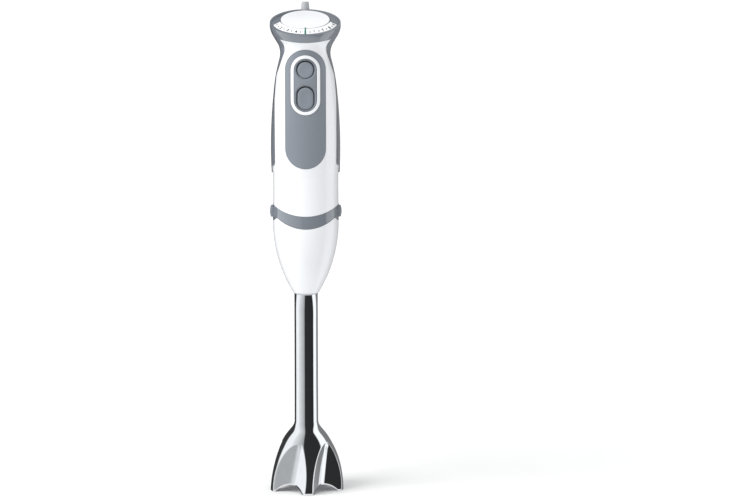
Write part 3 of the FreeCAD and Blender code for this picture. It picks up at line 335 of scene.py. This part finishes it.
def plastic(name, colour, roughness, grain, depth, coat=0.0, variation=0.03):
    """Moulded plastic: faint flow marks in its colour, uneven gloss and a fine moulded grain."""
    nodes = Nodes(name)
    flow = nodes.remap(nodes.noise(22 * MM, 4, (1, 1, 0.35)), 0, 1)
    base = nodes.blend(flow, shade(colour, 1 - variation), shade(colour, 1 + variation))
    gloss = nodes.remap(nodes.noise(5 * MM, 5), roughness * 0.88, roughness * 1.12)
    fine = nodes.bump(nodes.noise(grain, 2), 0.35, depth)
    waves = nodes.bump(nodes.noise(14 * MM, 2), 0.05, 0.1 * MM, fine)
    return nodes.shader(base, gloss, waves, Coat_Weight=coat, Coat_Roughness=0.06, IOR=1.49)


def metal(name, colour, roughness, stretch, scratch, depth):
    """Worked metal: fine tool marks along one direction, with patches of duller polish."""
    nodes = Nodes(name)
    marks = nodes.noise(scratch, 4, stretch)
    base = nodes.blend(nodes.remap(nodes.noise(9 * MM, 4), 0, 1), shade(colour, 0.95), colour)
    gloss = nodes.remap(nodes.noise(7 * MM, 5), roughness * 0.75, roughness * 1.3)
    return nodes.shader(base, gloss, nodes.bump(marks, 0.2, depth), Metallic=1.0)


def laminated(name, colour):
    """A stack of thin iron sheets with varnish between them."""
    nodes = Nodes(name)
    sheets = nodes.add("ShaderNodeTexWave", wave_type="BANDS", bands_direction="Z")
    sheets.inputs["Scale"].default_value = 1 / (3.2 * MM)
    sheets.inputs["Distortion"].default_value = 0.4
    nodes.link(nodes.coordinates(), sheets.inputs["Vector"])
    base = nodes.blend(sheets.outputs["Fac"], shade(colour, 0.6), shade(colour, 1.2))
    gloss = nodes.remap(nodes.noise(2 * MM, 4), 0.38, 0.55)
    ridges = nodes.bump(sheets.outputs["Fac"], 0.4, 0.05 * MM)
    return nodes.shader(base, gloss, ridges, Metallic=0.8)


def wound(name, colour):
    """Enamelled copper wire laid in turns."""
    nodes = Nodes(name)
    turns = nodes.add("ShaderNodeTexWave", wave_type="RINGS", rings_direction="X")
    turns.inputs["Scale"].default_value = 1 / (4 * MM)
    turns.inputs["Distortion"].default_value = 1.5
    nodes.link(nodes.coordinates(), turns.inputs["Vector"])
    base = nodes.blend(turns.outputs["Fac"], shade(colour, 0.45), shade(colour, 1.1))
    gloss = nodes.remap(nodes.noise(2 * MM, 3), 0.22, 0.36)
    ridges = nodes.bump(turns.outputs["Fac"], 0.6, 0.15 * MM)
    return nodes.shader(base, gloss, ridges, Metallic=0.9)


def printed(name, colour, speckle):
    """A thin layer of printing ink, slightly uneven in cover."""
    nodes = Nodes(name)
    cover = nodes.remap(nodes.noise(0.25 * MM, 3), 0, 1)
    base = nodes.blend(cover, shade(colour, 1 - speckle), shade(colour, 1 + speckle))
    gloss = nodes.remap(nodes.noise(1 * MM, 3), 0.28, 0.42)
    return nodes.shader(base, gloss, nodes.bump(cover, 0.15, 0.01 * MM))


def circuit(name, colour):
    """Solder resist over tracks."""
    nodes = Nodes(name)
    tracks = nodes.add("ShaderNodeTexVoronoi", feature="DISTANCE_TO_EDGE", distance="CHEBYCHEV")
    tracks.inputs["Scale"].default_value = 1 / (5 * MM)
    nodes.link(nodes.coordinates(), tracks.inputs["Vector"])
    line = nodes.add("ShaderNodeMath", operation="LESS_THAN")
    line.inputs[1].default_value = 0.07
    nodes.link(tracks.outputs["Distance"], line.inputs[0])
    base = nodes.blend(line.outputs[0], colour, shade(colour, 1.9))
    gloss = nodes.remap(nodes.noise(3 * MM, 3), 0.25, 0.4)
    return nodes.shader(base, gloss, nodes.bump(line.outputs[0], 0.4, 0.04 * MM))


WHITE = (0.89, 0.905, 0.93)
GREY = (0.225, 0.250, 0.285)
INK = (0.035, 0.045, 0.05)

WHITE_GLOSS = plastic("white_gloss_plastic", WHITE, 0.17, 0.9 * MM, 0.006 * MM, coat=0.3,
                      variation=0.008)
GREY_SATIN = plastic("grey_satin_plastic", GREY, 0.42, 0.45 * MM, 0.03 * MM)
GREY_GLOSS = plastic("grey_gloss_plastic", shade(GREY, 0.9), 0.16, 0.9 * MM, 0.006 * MM, coat=1.0)
GLAND = plastic("gland_plastic", (0.52, 0.54, 0.56), 0.5, 0.5 * MM, 0.03 * MM)
INNER = plastic("inner_plastic", (0.62, 0.63, 0.64), 0.45, 0.6 * MM, 0.03 * MM)
BLACK = plastic("black_parts_plastic", (0.02, 0.02, 0.022), 0.4, 0.5 * MM, 0.02 * MM)
RUBBER = plastic("seal_rubber", (0.022, 0.022, 0.023), 0.7, 0.4 * MM, 0.04 * MM)
POINTER = plastic("pointer_green_plastic", (0.035, 0.20, 0.15), 0.3, 0.5 * MM, 0.01 * MM)
POLISHED = metal("polished_steel", (0.80, 0.81, 0.83), 0.06, (1, 1, 0.03), 0.35 * MM, 0.002 * MM)
MACHINED = metal("machined_steel", (0.56, 0.57, 0.58), 0.24, (1, 1, 9), 1.5 * MM, 0.02 * MM)
CAST = metal("cast_aluminium", (0.62, 0.63, 0.64), 0.42, (1, 1, 1), 0.6 * MM, 0.05 * MM)
BRASS = metal("brass_sheet", (0.72, 0.55, 0.26), 0.3, (1, 1, 6), 1.2 * MM, 0.02 * MM)
IRON = laminated("laminated_iron", (0.16, 0.165, 0.175))
COPPER = wound("wound_copper", (0.62, 0.26, 0.12))
BOARD = circuit("circuit_board_green", (0.02, 0.12, 0.05))
WHITE_INK = printed("white_ink", (0.90, 0.91, 0.92), 0.02)
DARK_INK = printed("dark_ink", INK, 0.3)

SLOT_MATERIALS = {
    "white_plastic": WHITE_GLOSS,
    "grey_plastic": GREY_SATIN,
    "gland_plastic": GLAND,
    "pointer_green": POINTER,
    "inner_plastic": INNER,
    "polished_steel": POLISHED,
    "machined_steel": MACHINED,
    "iron_core": IRON,
    "bracket_aluminium": CAST,
    "copper": COPPER,
    "brass": BRASS,
    "seal_rubber": RUBBER,
    "board": BOARD,
    "black_parts": BLACK,
}
NODE_MATERIALS = {"rear_cover": GREY_GLOSS, "coupling_band": GREY_GLOSS}


def paint_frame():
    """Give every CAD node the finish of its material slot."""
    slots = {part["node"]: part["material_slot"] for part in frame["record"]["subparts"]}
    for name, item in frame["nodes"].items():
        material = NODE_MATERIALS.get(name, SLOT_MATERIALS[slots[name]])
        item.data.materials.clear()
        item.data.materials.append(material)


# Bell and tube --------------------------------------------------------------------------------

BELL = [
    ((31.2 * MM, 0.0), (20.6 * MM, 40.1 * MM), 78 * MM),
    ((20.6 * MM, 40.1 * MM), (12.1 * MM, 51.85 * MM), 46 * MM),
    ((12.1 * MM, 51.85 * MM), (TUBE, TUBE_FOOT), -8 * MM),
]


def bell_arc(level):
    """Radius of the bell's arcs before they run into one another."""
    for foot, top, bend in BELL:
        if level <= top[1]:
            return arc_radius(level, foot, top, bend)
    return TUBE


def bell_radius(level):
    """Outside of the bell, its arcs run into one another."""
    reach = min(BELL_BLEND, level)
    total = sum(bell_arc(level + reach * k / BLEND_SAMPLES)
                for k in range(-BLEND_SAMPLES, BLEND_SAMPLES + 1))
    return total / (2 * BLEND_SAMPLES + 1) - BELL_INSET


def flute_place(level):
    """Distance and angle of the first hollow's middle at a height."""
    foot, top = [
        (depth + FLUTE_RADIUS) * Vector((math.sin(angle), math.cos(angle)))
        for depth, angle in zip(FLUTE_DEPTHS, (FLUTE_TURN, FLUTE_TURN + FLUTE_SWEEP))]
    middle = foot.lerp(top, level / FLUTE_HEIGHT)
    return middle.length, math.atan2(middle.x, middle.y)


def flute_end():
    """Height at which the hollows run out on the bell's shoulder."""
    low, high = 0.0, FLUTE_HEIGHT + 6 * MM
    halvings = 40
    for _ in range(halvings):
        level = (low + high) / 2
        if flute_place(level)[0] - FLUTE_RADIUS < bell_radius(level):
            low = level
        else:
            high = level
    return low




def outline(level):
    """Radius, crease, the two corners and the lengths of the leg's face and of the two flanks. The
    first axis points at the crease, and each flank of a hollow keeps its bearing as it rises."""
    radius = bell_radius(level)
    distance, turn = flute_place(level)
    depth = max(radius + FLUTE_RADIUS - distance, 0)
    depth = min(CREASE_SHARE * math.sqrt(depth * (depth + FLUTE_END)), radius)
    crease = Vector((radius - depth, 0))
    corners, lengths = [], []
    for side, bearing in zip((-1, 1), FLANK_BEARINGS):
        slope = side * (turn - bearing)
        along = crease.x * math.sin(slope)
        length = math.sqrt(along ** 2 + radius ** 2 - crease.x ** 2) - along
        corners.append(crease + length * Vector((math.sin(slope), side * math.cos(slope))))
        lengths.append(length)
    open_angle = sum(abs(math.atan2(spot.y, spot.x)) for spot in corners)
    return radius, crease, corners, (radius * (SECTOR - open_angle), *lengths)


def outline_point(shape, run):
    """A point of the bell's sharp outline, at a length along it from a leg's first edge."""
    radius, crease, corners, (leg, first, last) = shape
    total = leg + first + last
    turns = math.floor(run / total)
    run -= turns * total
    if run <= leg:
        start = math.atan2(corners[0].y, corners[0].x) - leg / radius
        angle = start + run / radius
        spot = Vector((radius * math.cos(angle), radius * math.sin(angle)))
    elif run <= leg + first:
        spot = corners[0].lerp(crease, (run - leg) / first)
    else:
        spot = crease.lerp(corners[1], (run - leg - first) / last)
    return Matrix.Rotation(turns * SECTOR, 2) @ spot


def sector_point(column, level):
    """A point of the bell's rounded outline at a height: along a leg's face, then down one flank
    of the hollow beside it and up the other."""
    shape = outline(level)
    leg, first, last = shape[3]
    if column <= LEG_STEPS:
        run = leg * column / LEG_STEPS
    elif column <= LEG_STEPS + FLANK_STEPS:
        run = leg + first * (column - LEG_STEPS) / FLANK_STEPS
    else:
        run = leg + first + last * (column - LEG_STEPS - FLANK_STEPS) / FLANK_STEPS
    near_crease = max(1 - abs(run - leg - first) / max(first, last, 1e-9) * CREASE_FADE, 0)
    reach = LEG_EDGE + (CREASE - LEG_EDGE) * near_crease
    spots = (outline_point(shape, run + reach * k / EDGE_SAMPLES)
             for k in range(-EDGE_SAMPLES, EDGE_SAMPLES + 1))
    spot = sum(spots, Vector((0, 0))) / (2 * EDGE_SAMPLES + 1)
    return spot.length, flute_place(level)[1] + math.atan2(spot.y, spot.x)


def rim_level(column):
    """Height of the rim at a column: the feet stand on the ground, with a notch between them."""
    arch = (NOTCH_HALF ** 2 + NOTCH_HEIGHT ** 2) / (2 * NOTCH_HEIGHT)
    level = RIM_LIFT
    rounds = 6
    for _ in range(rounds):
        radius, angle = sector_point(column, level)
        aside = radius * math.sin(angle - FLUTE_TURN)
        level = max(NOTCH_HEIGHT - arch + math.sqrt(max(arch ** 2 - aside ** 2, 0)), RIM_LIFT)
        if math.cos(angle - FLUTE_TURN) < 0:
            level = RIM_LIFT
    return level


def around(radius, angle, level):
    """A point by its bearing from the front, positive to the right."""
    return Vector((radius * math.sin(angle), -radius * math.cos(angle), level))


def bell_and_tube():
    """The steel bell with hollows between five swept legs and notches in its rim, and its tube."""
    end = flute_end()
    flute_columns = 2 * FLANK_STEPS
    columns = LEG_STEPS + flute_columns
    upper = [end + (TUBE_FOOT - end) * i / SHOULDER_ROWS for i in range(SHOULDER_ROWS + 1)]
    upper += [TUBE_FOOT + (TUBE_TOP - TUBE_FOOT) * i / TUBE_ROWS for i in range(1, TUBE_ROWS + 1)]
    verts, faces, rings = [], [], []
    feet = [rim_level(column) for column in range(columns)]
    for row in range(SKIRT_ROWS):
        ring = []
        for leg in range(LEGS):
            for column in range(columns):
                share = 1 - (1 - row / SKIRT_ROWS) ** 2
                level = feet[column] + (end - feet[column]) * share
                radius, angle = sector_point(column, level)
                ring.append(len(verts))
                verts.append(around(radius, angle + leg * SECTOR, level))
        rings.append(ring)
    turn = flute_place(end)[1]
    for level in upper:
        ring = []
        for leg in range(LEGS):
            for column in range(LEG_STEPS):
                angle = turn + (leg - 1 + column / LEG_STEPS) * SECTOR
                ring.append(len(verts))
                verts.append(around(bell_radius(level), angle, level))
            ring += [len(verts)] * flute_columns
        total = len(ring)
        for leg in range(LEGS):
            start = leg * columns + LEG_STEPS
            shared = ring[(start + flute_columns) % total]
            ring[start:start + flute_columns] = [shared] * flute_columns
        rings.append(ring)
    for lower, higher in zip(rings, rings[1:]):
        count = len(lower)
        for k in range(count):
            after = (k + 1) % count
            face = tuple(dict.fromkeys((lower[k], lower[after], higher[after], higher[k])))
            if len(face) > 2:
                faces.append(face)
    bell = piece("steel_bell_and_tube", verts, faces, POLISHED)
    thickened(bell, STEEL)
    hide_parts("blending_shaft")
    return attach(bell, "shaft_unit")


# Controls -------------------------------------------------------------------------------------

def stadium_point(turn, half_width, half_height):
    """A point of an upright slot shape, as (x, z) from its middle."""
    straight = half_height - half_width
    x, z = half_width * math.sin(turn), half_width * math.cos(turn)
    return Vector((x, z + math.copysign(straight, z) if straight > 0 else z))


def stadium_ring(half_width, half_height, count):
    """Evenly spaced points round a slot shape, clockwise from its top."""
    straight = 2 * (half_height - half_width)
    length = 2 * math.pi * half_width + 2 * straight
    points = []
    for step in range(count):
        run = length * step / count
        quarter = math.pi * half_width / 2
        if run < quarter:
            points.append(stadium_point(run / half_width, half_width, half_height))
        elif run < quarter + straight:
            points.append(Vector((half_width, straight / 2 - (run - quarter))))
        elif run < 3 * quarter + straight:
            turn = (run - straight) / half_width
            points.append(stadium_point(turn, half_width, half_height))
        elif run < 3 * quarter + 2 * straight:
            points.append(Vector((-half_width, run - 3 * quarter - straight * 1.5)))
        else:
            turn = (run - 2 * straight) / half_width
            points.append(stadium_point(turn, half_width, half_height))
    return points


def trim_ring():
    """The white ring round the buttons, with a softly rounded band."""
    count, across = 160, 14
    middle = sum(TRIM_LEVELS) / 2
    half_height = (TRIM_LEVELS[1] - TRIM_LEVELS[0]) / 2
    verts, faces = [], []
    skirt = 1.0 * MM
    for k in range(across + 1):
        share = 2 * k / across - 1
        inset = TRIM_BAND * (1 + share) / 2
        proud = TRIM_PROUD * (1 - abs(share) ** 5) if 0 < k < across else -skirt
        ring = stadium_ring(TRIM_WIDTH / 2 - inset, half_height - inset, count)
        verts += [on_grip(x, middle + z, proud) for x, z in ring]
    for k in range(across):
        for step in range(count):
            after = (step + 1) % count
            faces.append((k * count + step, k * count + after,
                          (k + 1) * count + after, (k + 1) * count + step))
    faces += [(across * count + step, across * count + (step + 1) % count,
               (step + 1) % count, step) for step in range(count)]
    ring = piece("white_trim_ring", verts, faces, WHITE_GLOSS)
    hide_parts("panel_trim_ring")
    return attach(ring, "motor_part")


def button(name, spec, node, body):
    """A button's cap: a rounded edge and a shallow dish for the finger."""
    count, rings = 96, 22
    edge, wall = 0.9 * MM, 2.6 * MM
    half_width, half_height = spec["width"] / 2, spec["height"] / 2
    verts, faces = [], []
    stations = [(0.0, -wall), (0.0, -edge)]
    for step in range(1, 7):
        turn = math.radians(90) * step / 6
        stations.append((edge * (1 - math.cos(turn)), -edge * (1 - math.sin(turn))))
    for step in range(1, rings):
        stations.append((edge + (half_width - edge) * 0.985 * step / (rings - 1), 0.0))
    for inset, sunk in stations:
        share = 1 - smooth_step((inset - edge) / (half_width * 0.8))
        dish = spec["dish"] * (1 - share)
        for x, z in stadium_ring(half_width - inset, half_height - inset, count):
            verts.append(on_grip(x, spec["level"] - BUTTON_DROP + z, sunk - BUTTON_SUNK - dish))
    for k in range(len(stations) - 1):
        for step in range(count):
            after = (step + 1) % count
            faces.append((k * count + step, k * count + after,
                          (k + 1) * count + after, (k + 1) * count + step))
    last = (len(stations) - 1) * count
    half = count // 2
    for step in range(1, half):
        faces.append((last + step - 1, last + step, last + count - step,
                      last + (count - step + 1) % count))
    faces.append((last + half - 1, last + half, last + half + 1))
    faces = [tuple(dict.fromkeys(face)) for face in faces]
    cap = piece(name, verts, faces, GREY_SATIN)
    cap = thickened(cap, 0.8 * MM)
    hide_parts(node)
    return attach(cap, body)


def bezel():
    """The plate between the buttons and the white ring, with a bevelled well round each button."""
    middle = sum(TRIM_LEVELS) / 2
    inset = TRIM_BAND + SEAM
    half_width = TRIM_WIDTH / 2 - inset
    half_height = (TRIM_LEVELS[1] - TRIM_LEVELS[0]) / 2 - inset
    plate = 0.9 * MM
    points, edges, loops = [], [], []

    def loop(ring, level, boundary):
        start = len(points)
        points.extend(Vector((x, level + z)) for x, z in ring)
        if boundary:
            loops.append([start + k for k in range(len(ring))])

    loop(stadium_ring(half_width, half_height, 150), middle, True)
    loop(stadium_ring(half_width - BEZEL_EDGE, half_height - BEZEL_EDGE, 150), middle, False)
    for spec in (POWER, TURBO):
        hole = (spec["width"] / 2 + BUTTON_GAP, spec["height"] / 2 + BUTTON_GAP)
        for step in range(6):
            grow = WELL_BEVEL * step / 5
            loop(stadium_ring(hole[0] + grow, hole[1] + grow, 110), spec["level"], step == 0)
    pitch = 1.0 * MM
    rows = int(2 * half_height / pitch)
    for row in range(-rows // 2, rows // 2 + 1):
        for column in range(-9, 10):
            spot = Vector((column * pitch, middle + row * pitch))
            if outside_slot(spot, middle, half_width, half_height) > -0.7 * MM:
                continue
            if min(well_distance(spot, spec) for spec in (POWER, TURBO)) < WELL_BEVEL + 0.4 * MM:
                continue
            points.append(spot)
    for ids in loops:
        edges += [(ids[k], ids[(k + 1) % len(ids)]) for k in range(len(ids))]
    flat, _, triangles, *_ = delaunay_2d_cdt(points, edges, [], 0, 1e-7)
    verts = []
    for spot in flat:
        nearest = min(well_distance(spot, spec) for spec in (POWER, TURBO))
        sunk = 0.0
        if nearest < WELL_BEVEL:
            sunk = WELL_DEPTH * (1 - smooth_step(nearest / WELL_BEVEL))
        rim = outside_slot(spot, middle, half_width, half_height)
        if rim > -0.05 * MM:
            sunk += 0.2 * MM
        verts.append(on_grip(spot.x, spot.y, BEZEL_PROUD - sunk))
    faces = []
    for triangle in triangles:
        spot = sum((flat[k] for k in triangle), Vector((0, 0))) / 3
        inside_hole = min(well_distance(spot, spec) for spec in (POWER, TURBO)) < 0
        if not inside_hole and outside_slot(spot, middle, half_width, half_height) < 1e-6:
            faces.append(tuple(triangle))
    plate_piece = piece("button_bezel_plate", verts, faces, GREY_SATIN)
    thickened(plate_piece, plate)
    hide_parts("button_bezel")
    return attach(plate_piece, "motor_part")


def outside_slot(spot, middle, half_width, half_height):
    """Distance of a point outside an upright slot shape, negative inside."""
    straight = half_height - half_width
    z = spot.y - middle
    z -= min(max(z, -straight), straight)
    return math.hypot(spot.x, z) - half_width


def well_distance(spot, spec):
    """Distance of a point outside the hole for a button."""
    return outside_slot(spot, spec["level"], spec["width"] / 2 + BUTTON_GAP,
                        spec["height"] / 2 + BUTTON_GAP)


def release_buttons():
    """The two side buttons, with their edges rounded off."""
    for side in ("left", "right"):
        node = f"release_button_{side}"
        cap = softened(f"release_cap_{side}", node, GREY_SATIN, 0.25 * MM, 5)
        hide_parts(node)
        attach(cap, f"release_{side}")


# Head -----------------------------------------------------------------------------------------

def scale_height(radius):
    """Top of the scale ring above the dial's plane."""
    inner = DIAL_RADIUS + SCALE_GAP
    share = (radius - inner) / (SCALE_RADIUS - inner)
    return SCALE_DROP * (1 - share)


def scale_ring():
    """The sloping grey ring round the dial."""
    inner = DIAL_RADIUS + SCALE_GAP
    outline = filleted([
        (inner, 0.6 * MM), (SCALE_RADIUS - 2.6 * MM, -2.3 * MM), (SCALE_RADIUS, -2.3 * MM),
        (SCALE_RADIUS, 0.0), (inner, SCALE_DROP)], 0.35 * MM)
    ring = lathed("sloping_scale_ring", outline, GREY_GLOSS, DIAL_PLANE)
    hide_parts("scale_ring")
    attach(ring, "motor_part")


def scale_patch(name, first, last, near, far, material, lift):
    """A thin printed patch on the scale ring between two angles and two radii."""
    steps = max(2, int(abs(last - first) / math.radians(2)))
    across = 6
    verts, faces = [], []
    for i in range(steps + 1):
        angle = first + (last - first) * i / steps
        for k in range(across + 1):
            radius = near + (far - near) * k / across
            spot = around(radius, angle, scale_height(radius) + lift)
            verts.append(DIAL_PLANE @ spot)
    for i in range(steps):
        for k in range(across):
            a = i * (across + 1) + k
            faces.append((a, a + 1, a + across + 2, a + across + 1))
    patch = piece(name, verts, faces, material)
    patch = thickened(patch, 0.03 * MM)
    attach(patch, "motor_part")


def scale_print():
    """White sector with numbers and dots on the sloping ring."""
    near, far = DIAL_RADIUS + 0.9 * MM, SCALE_RADIUS - 0.45 * MM
    scale_patch("scale_sector", -SCALE_SECTOR, SCALE_SECTOR, near, far, WHITE_INK, INK_LIFT)
    slope = math.atan2(SCALE_DROP, SCALE_RADIUS - DIAL_RADIUS - SCALE_GAP)
    for mark in range(SCALE_MARKS):
        angle = SCALE_SECTOR * SCALE_SPREAD * (2 * mark / (SCALE_MARKS - 1) - 1)
        radius = SCALE_RADIUS - MARK_INSET
        spot = around(radius, angle, scale_height(radius) + MARK_LIFT)
        place = (DIAL_PLANE @ Matrix.Translation(spot) @ Matrix.Rotation(angle, 4, "Z")
                 @ Matrix.Rotation(slope, 4, "X"))
        if mark % 2:
            corners = [(0, 0), (DOT_RADIUS, 0), (DOT_RADIUS, DOT_HEIGHT), (0, DOT_HEIGHT)]
            outline = filleted(corners, 0.01 * MM, 2)
            dot = lathed(f"scale_dot_{mark}", outline, DARK_INK, place, 24)
        else:
            dot = number(f"scale_number_{mark}", str(mark // 2 + 1), NUMBER_SIZE, place)
        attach(dot, "motor_part")


def number(name, text, size, place):
    """A printed number, centred on its place."""
    curve = bpy.data.curves.new(name, "FONT")
    curve.body = text
    curve.size = size
    curve.align_x = "CENTER"
    curve.align_y = "CENTER"
    curve.extrude = 0.015 * MM
    curve.offset = NUMBER_WEIGHT
    source = bpy.data.objects.new(name + "_text", curve)
    bpy.context.scene.collection.objects.link(source)
    graph = bpy.context.evaluated_depsgraph_get()
    mesh = bpy.data.meshes.new_from_object(source.evaluated_get(graph))
    bpy.data.objects.remove(source)
    mesh.transform(place)
    mesh.materials.clear()
    mesh.materials.append(DARK_INK)
    item = bpy.data.objects.new(name, mesh)
    bpy.context.scene.collection.objects.link(item)
    return item


def dial():
    """The white dial: a flat dome with a rounded rim."""
    rim_top, dome = SCALE_DROP + 0.2 * MM, 0.8 * MM
    outline = [(0, 0.3 * MM)]
    outline += filleted([(DIAL_RADIUS, 0.3 * MM), (DIAL_RADIUS, rim_top),
                         (DIAL_RADIUS * 0.2, rim_top)], DIAL_EDGE)[:12]
    steps = 24
    for step in range(1, steps + 1):
        radius = (DIAL_RADIUS - DIAL_EDGE) * (1 - step / steps)
        rise = dome * smooth_step(1 - radius / (DIAL_RADIUS - DIAL_EDGE)) ** 0.7
        outline.append((radius, rim_top + rise))
    disc = lathed("speed_dial_disc", outline, WHITE_GLOSS, DIAL_PLANE)
    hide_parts("speed_dial")
    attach(disc, "dial")


def pointer():
    """The green pointer: a thin wedge from the dial's edge over the sloping ring."""
    half = POINTER_WIDTH / 2
    side = []
    steps = 8
    near, far = DIAL_RADIUS - 0.2 * MM, SCALE_RADIUS - 0.2 * MM
    for step in range(steps + 1):
        radius = near + (far - near) * step / steps
        side.append((radius, scale_height(radius) + 0.45 * MM))
    for step in range(steps, -1, -1):
        radius = near + (far - near) * step / steps
        side.append((radius, scale_height(radius) + 0.1 * MM))
    count = len(side)
    verts = [DIAL_PLANE @ Vector((x, -radius, height))
             for x in (-half, half) for radius, height in side]
    faces = [(k, (k + 1) % count, count + (k + 1) % count, count + k) for k in range(count)]
    for start in (0, count):
        faces += [(start + k, start + k + 1, start + count - 2 - k, start + count - 1 - k)
                  for k in range(steps)]
    wedge = piece("green_pointer", verts, faces, POINTER)
    bevel = wedge.modifiers.new("edges", "BEVEL")
    bevel.width = 0.12 * MM
    bevel.segments = 3
    finished(wedge)
    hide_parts("dial_pointer")
    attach(wedge, "dial")


# Stage ----------------------------------------------------------------------------------------

def floor():
    """A pale floor that reaches to the horizon."""
    nodes = Nodes("pale_floor_paint")
    base = nodes.blend(nodes.remap(nodes.noise(0.4, 3), 0, 1), (0.90, 0.90, 0.90),
                       (0.92, 0.92, 0.92))
    rough = nodes.remap(nodes.noise(0.1, 3), 0.75, 0.85)
    material = nodes.shader(base, rough)
    half = 150.0
    corners = [(-half, -half, 0), (half, -half, 0), (half, half, 0), (-half, half, 0)]
    plane = piece("floor", corners, [(0, 1, 2, 3)], material)
    plane.visible_glossy = False


# Radiance of the light tent by azimuth in degrees from the front, positive to the right
TENT = [
    (-180, 0.05), (-119, 0.05), (-114, 1.15), (-82, 1.15), (-72, 0.95), (-34, 0.60), (-18, 0.42),
    (-14, 0.035), (72, 0.03), (78, 1.25), (113, 1.25), (118, 0.25), (180, 0.22),
]


def tent():
    """A light tent of white cloth and dark panels over a pale ground, that only shows in
    reflections."""
    nodes = Nodes("tent_cloth")
    place = nodes.add("ShaderNodeSeparateXYZ")
    nodes.link(nodes.coordinates(), place.inputs[0])
    front = nodes.add("ShaderNodeMath", operation="MULTIPLY")
    front.inputs[1].default_value = -1
    nodes.link(place.outputs["Y"], front.inputs[0])
    turn = nodes.add("ShaderNodeMath", operation="ARCTAN2")
    nodes.link(place.outputs["X"], turn.inputs[0])
    nodes.link(front.outputs[0], turn.inputs[1])
    share = nodes.add("ShaderNodeMapRange")
    share.inputs["From Min"].default_value = -math.pi
    share.inputs["From Max"].default_value = math.pi
    nodes.link(turn.outputs[0], share.inputs["Value"])
    ramp = nodes.add("ShaderNodeFloatCurve")
    curve = ramp.mapping.curves[0]
    ramp.mapping.clip_max_y = 2.0
    points = [((azimuth + 180) / 360, value) for azimuth, value in TENT]
    curve.points[0].location = points[0]
    curve.points[-1].location = points[-1]
    for x, y in points[1:-1]:
        curve.points.new(x, y)
    for point in curve.points:
        point.handle_type = "VECTOR"
    ramp.mapping.update()
    nodes.link(share.outputs["Result"], ramp.inputs["Value"])
    below = nodes.add("ShaderNodeMapRange", interpolation_type="SMOOTHSTEP")
    below.inputs["From Min"].default_value = -0.40
    below.inputs["From Max"].default_value = -0.27
    below.inputs["To Min"].default_value = 1.0
    below.inputs["To Max"].default_value = 0.0
    nodes.link(place.outputs["Z"], below.inputs["Value"])
    strength = nodes.add("ShaderNodeMix", data_type="FLOAT")
    strength.inputs["B"].default_value = 1.0
    nodes.link(below.outputs["Result"], strength.inputs["Factor"])
    nodes.link(ramp.outputs["Value"], strength.inputs["A"])
    glow = nodes.add("ShaderNodeEmission")
    glow.inputs["Color"].default_value = (0.97, 0.99, 1.0, 1)
    nodes.link(strength.outputs["Result"], glow.inputs["Strength"])
    nodes.link(glow.outputs["Emission"], nodes.output.inputs["Surface"])
    nodes.material.cycles.emission_sampling = "NONE"
    radius, rings = 0.7, 24
    outline = [(radius * math.sin(math.pi * k / rings), -radius * math.cos(math.pi * k / rings))
               for k in range(rings + 1)]
    outline[0], outline[-1] = (0, -radius), (0, radius)
    cloth = lathed("light_tent", outline, nodes.material, Matrix.Translation((0, 0, 0.15)), 96)
    cloth.visible_camera = False
    cloth.visible_diffuse = False
    cloth.visible_shadow = False
    cloth.visible_transmission = False


def sun(name, azimuth, elevation, strength, spread):
    """A soft sun. Its azimuth is from the front, positive to the right, in degrees."""
    light = bpy.data.lights.new(name, "SUN")
    light.energy = strength
    light.angle = math.radians(spread)
    item = bpy.data.objects.new(name, light)
    place = around(math.cos(math.radians(elevation)), math.radians(azimuth),
                   math.sin(math.radians(elevation)))
    item.location = place
    item.rotation_euler = (-place).to_track_quat("-Z", "Y").to_euler()
    bpy.context.scene.collection.objects.link(item)
    item.visible_glossy = False


def lights():
    """An even pale sky with a soft sun from the left front and one from above."""
    world = bpy.data.worlds.new("studio")
    world.use_nodes = True
    background = world.node_tree.nodes["Background"]
    background.inputs["Color"].default_value = (0.99, 0.995, 1, 1)
    background.inputs["Strength"].default_value = 0.54
    bpy.context.scene.world = world
    sun("key_left", -62, 38, 2.1, 40)
    sun("top", 20, 80, 0.9, 60)


def camera():
    """A long lens from 2.6 m, a little above the object, aimed to the right of it."""
    distance, elevation = 2.6, math.radians(7.8)
    aim = Vector((57.3 * MM, 0, 201 * MM))
    data = bpy.data.cameras.new("camera")
    data.lens = 150.4
    data.sensor_width = 36
    data.clip_start = 0.05
    data.clip_end = 400
    item = bpy.data.objects.new("camera", data)
    item.location = (0, -distance * math.cos(elevation), aim.z + distance * math.sin(elevation))
    item.rotation_euler = (aim - item.location).to_track_quat("-Z", "Y").to_euler()
    bpy.context.scene.collection.objects.link(item)
    bpy.context.scene.camera = item
    bpy.context.scene.view_settings.view_transform = "Standard"


paint_frame()
bell_and_tube()
trim_ring()
bezel()
button("power_button_cap", POWER, "power_button", "power_button")
button("turbo_button_cap", TURBO, "turbo_button", "turbo_button")
release_buttons()
scale_ring()
scale_print()
dial()
pointer()
floor()
tent()
lights()
camera()
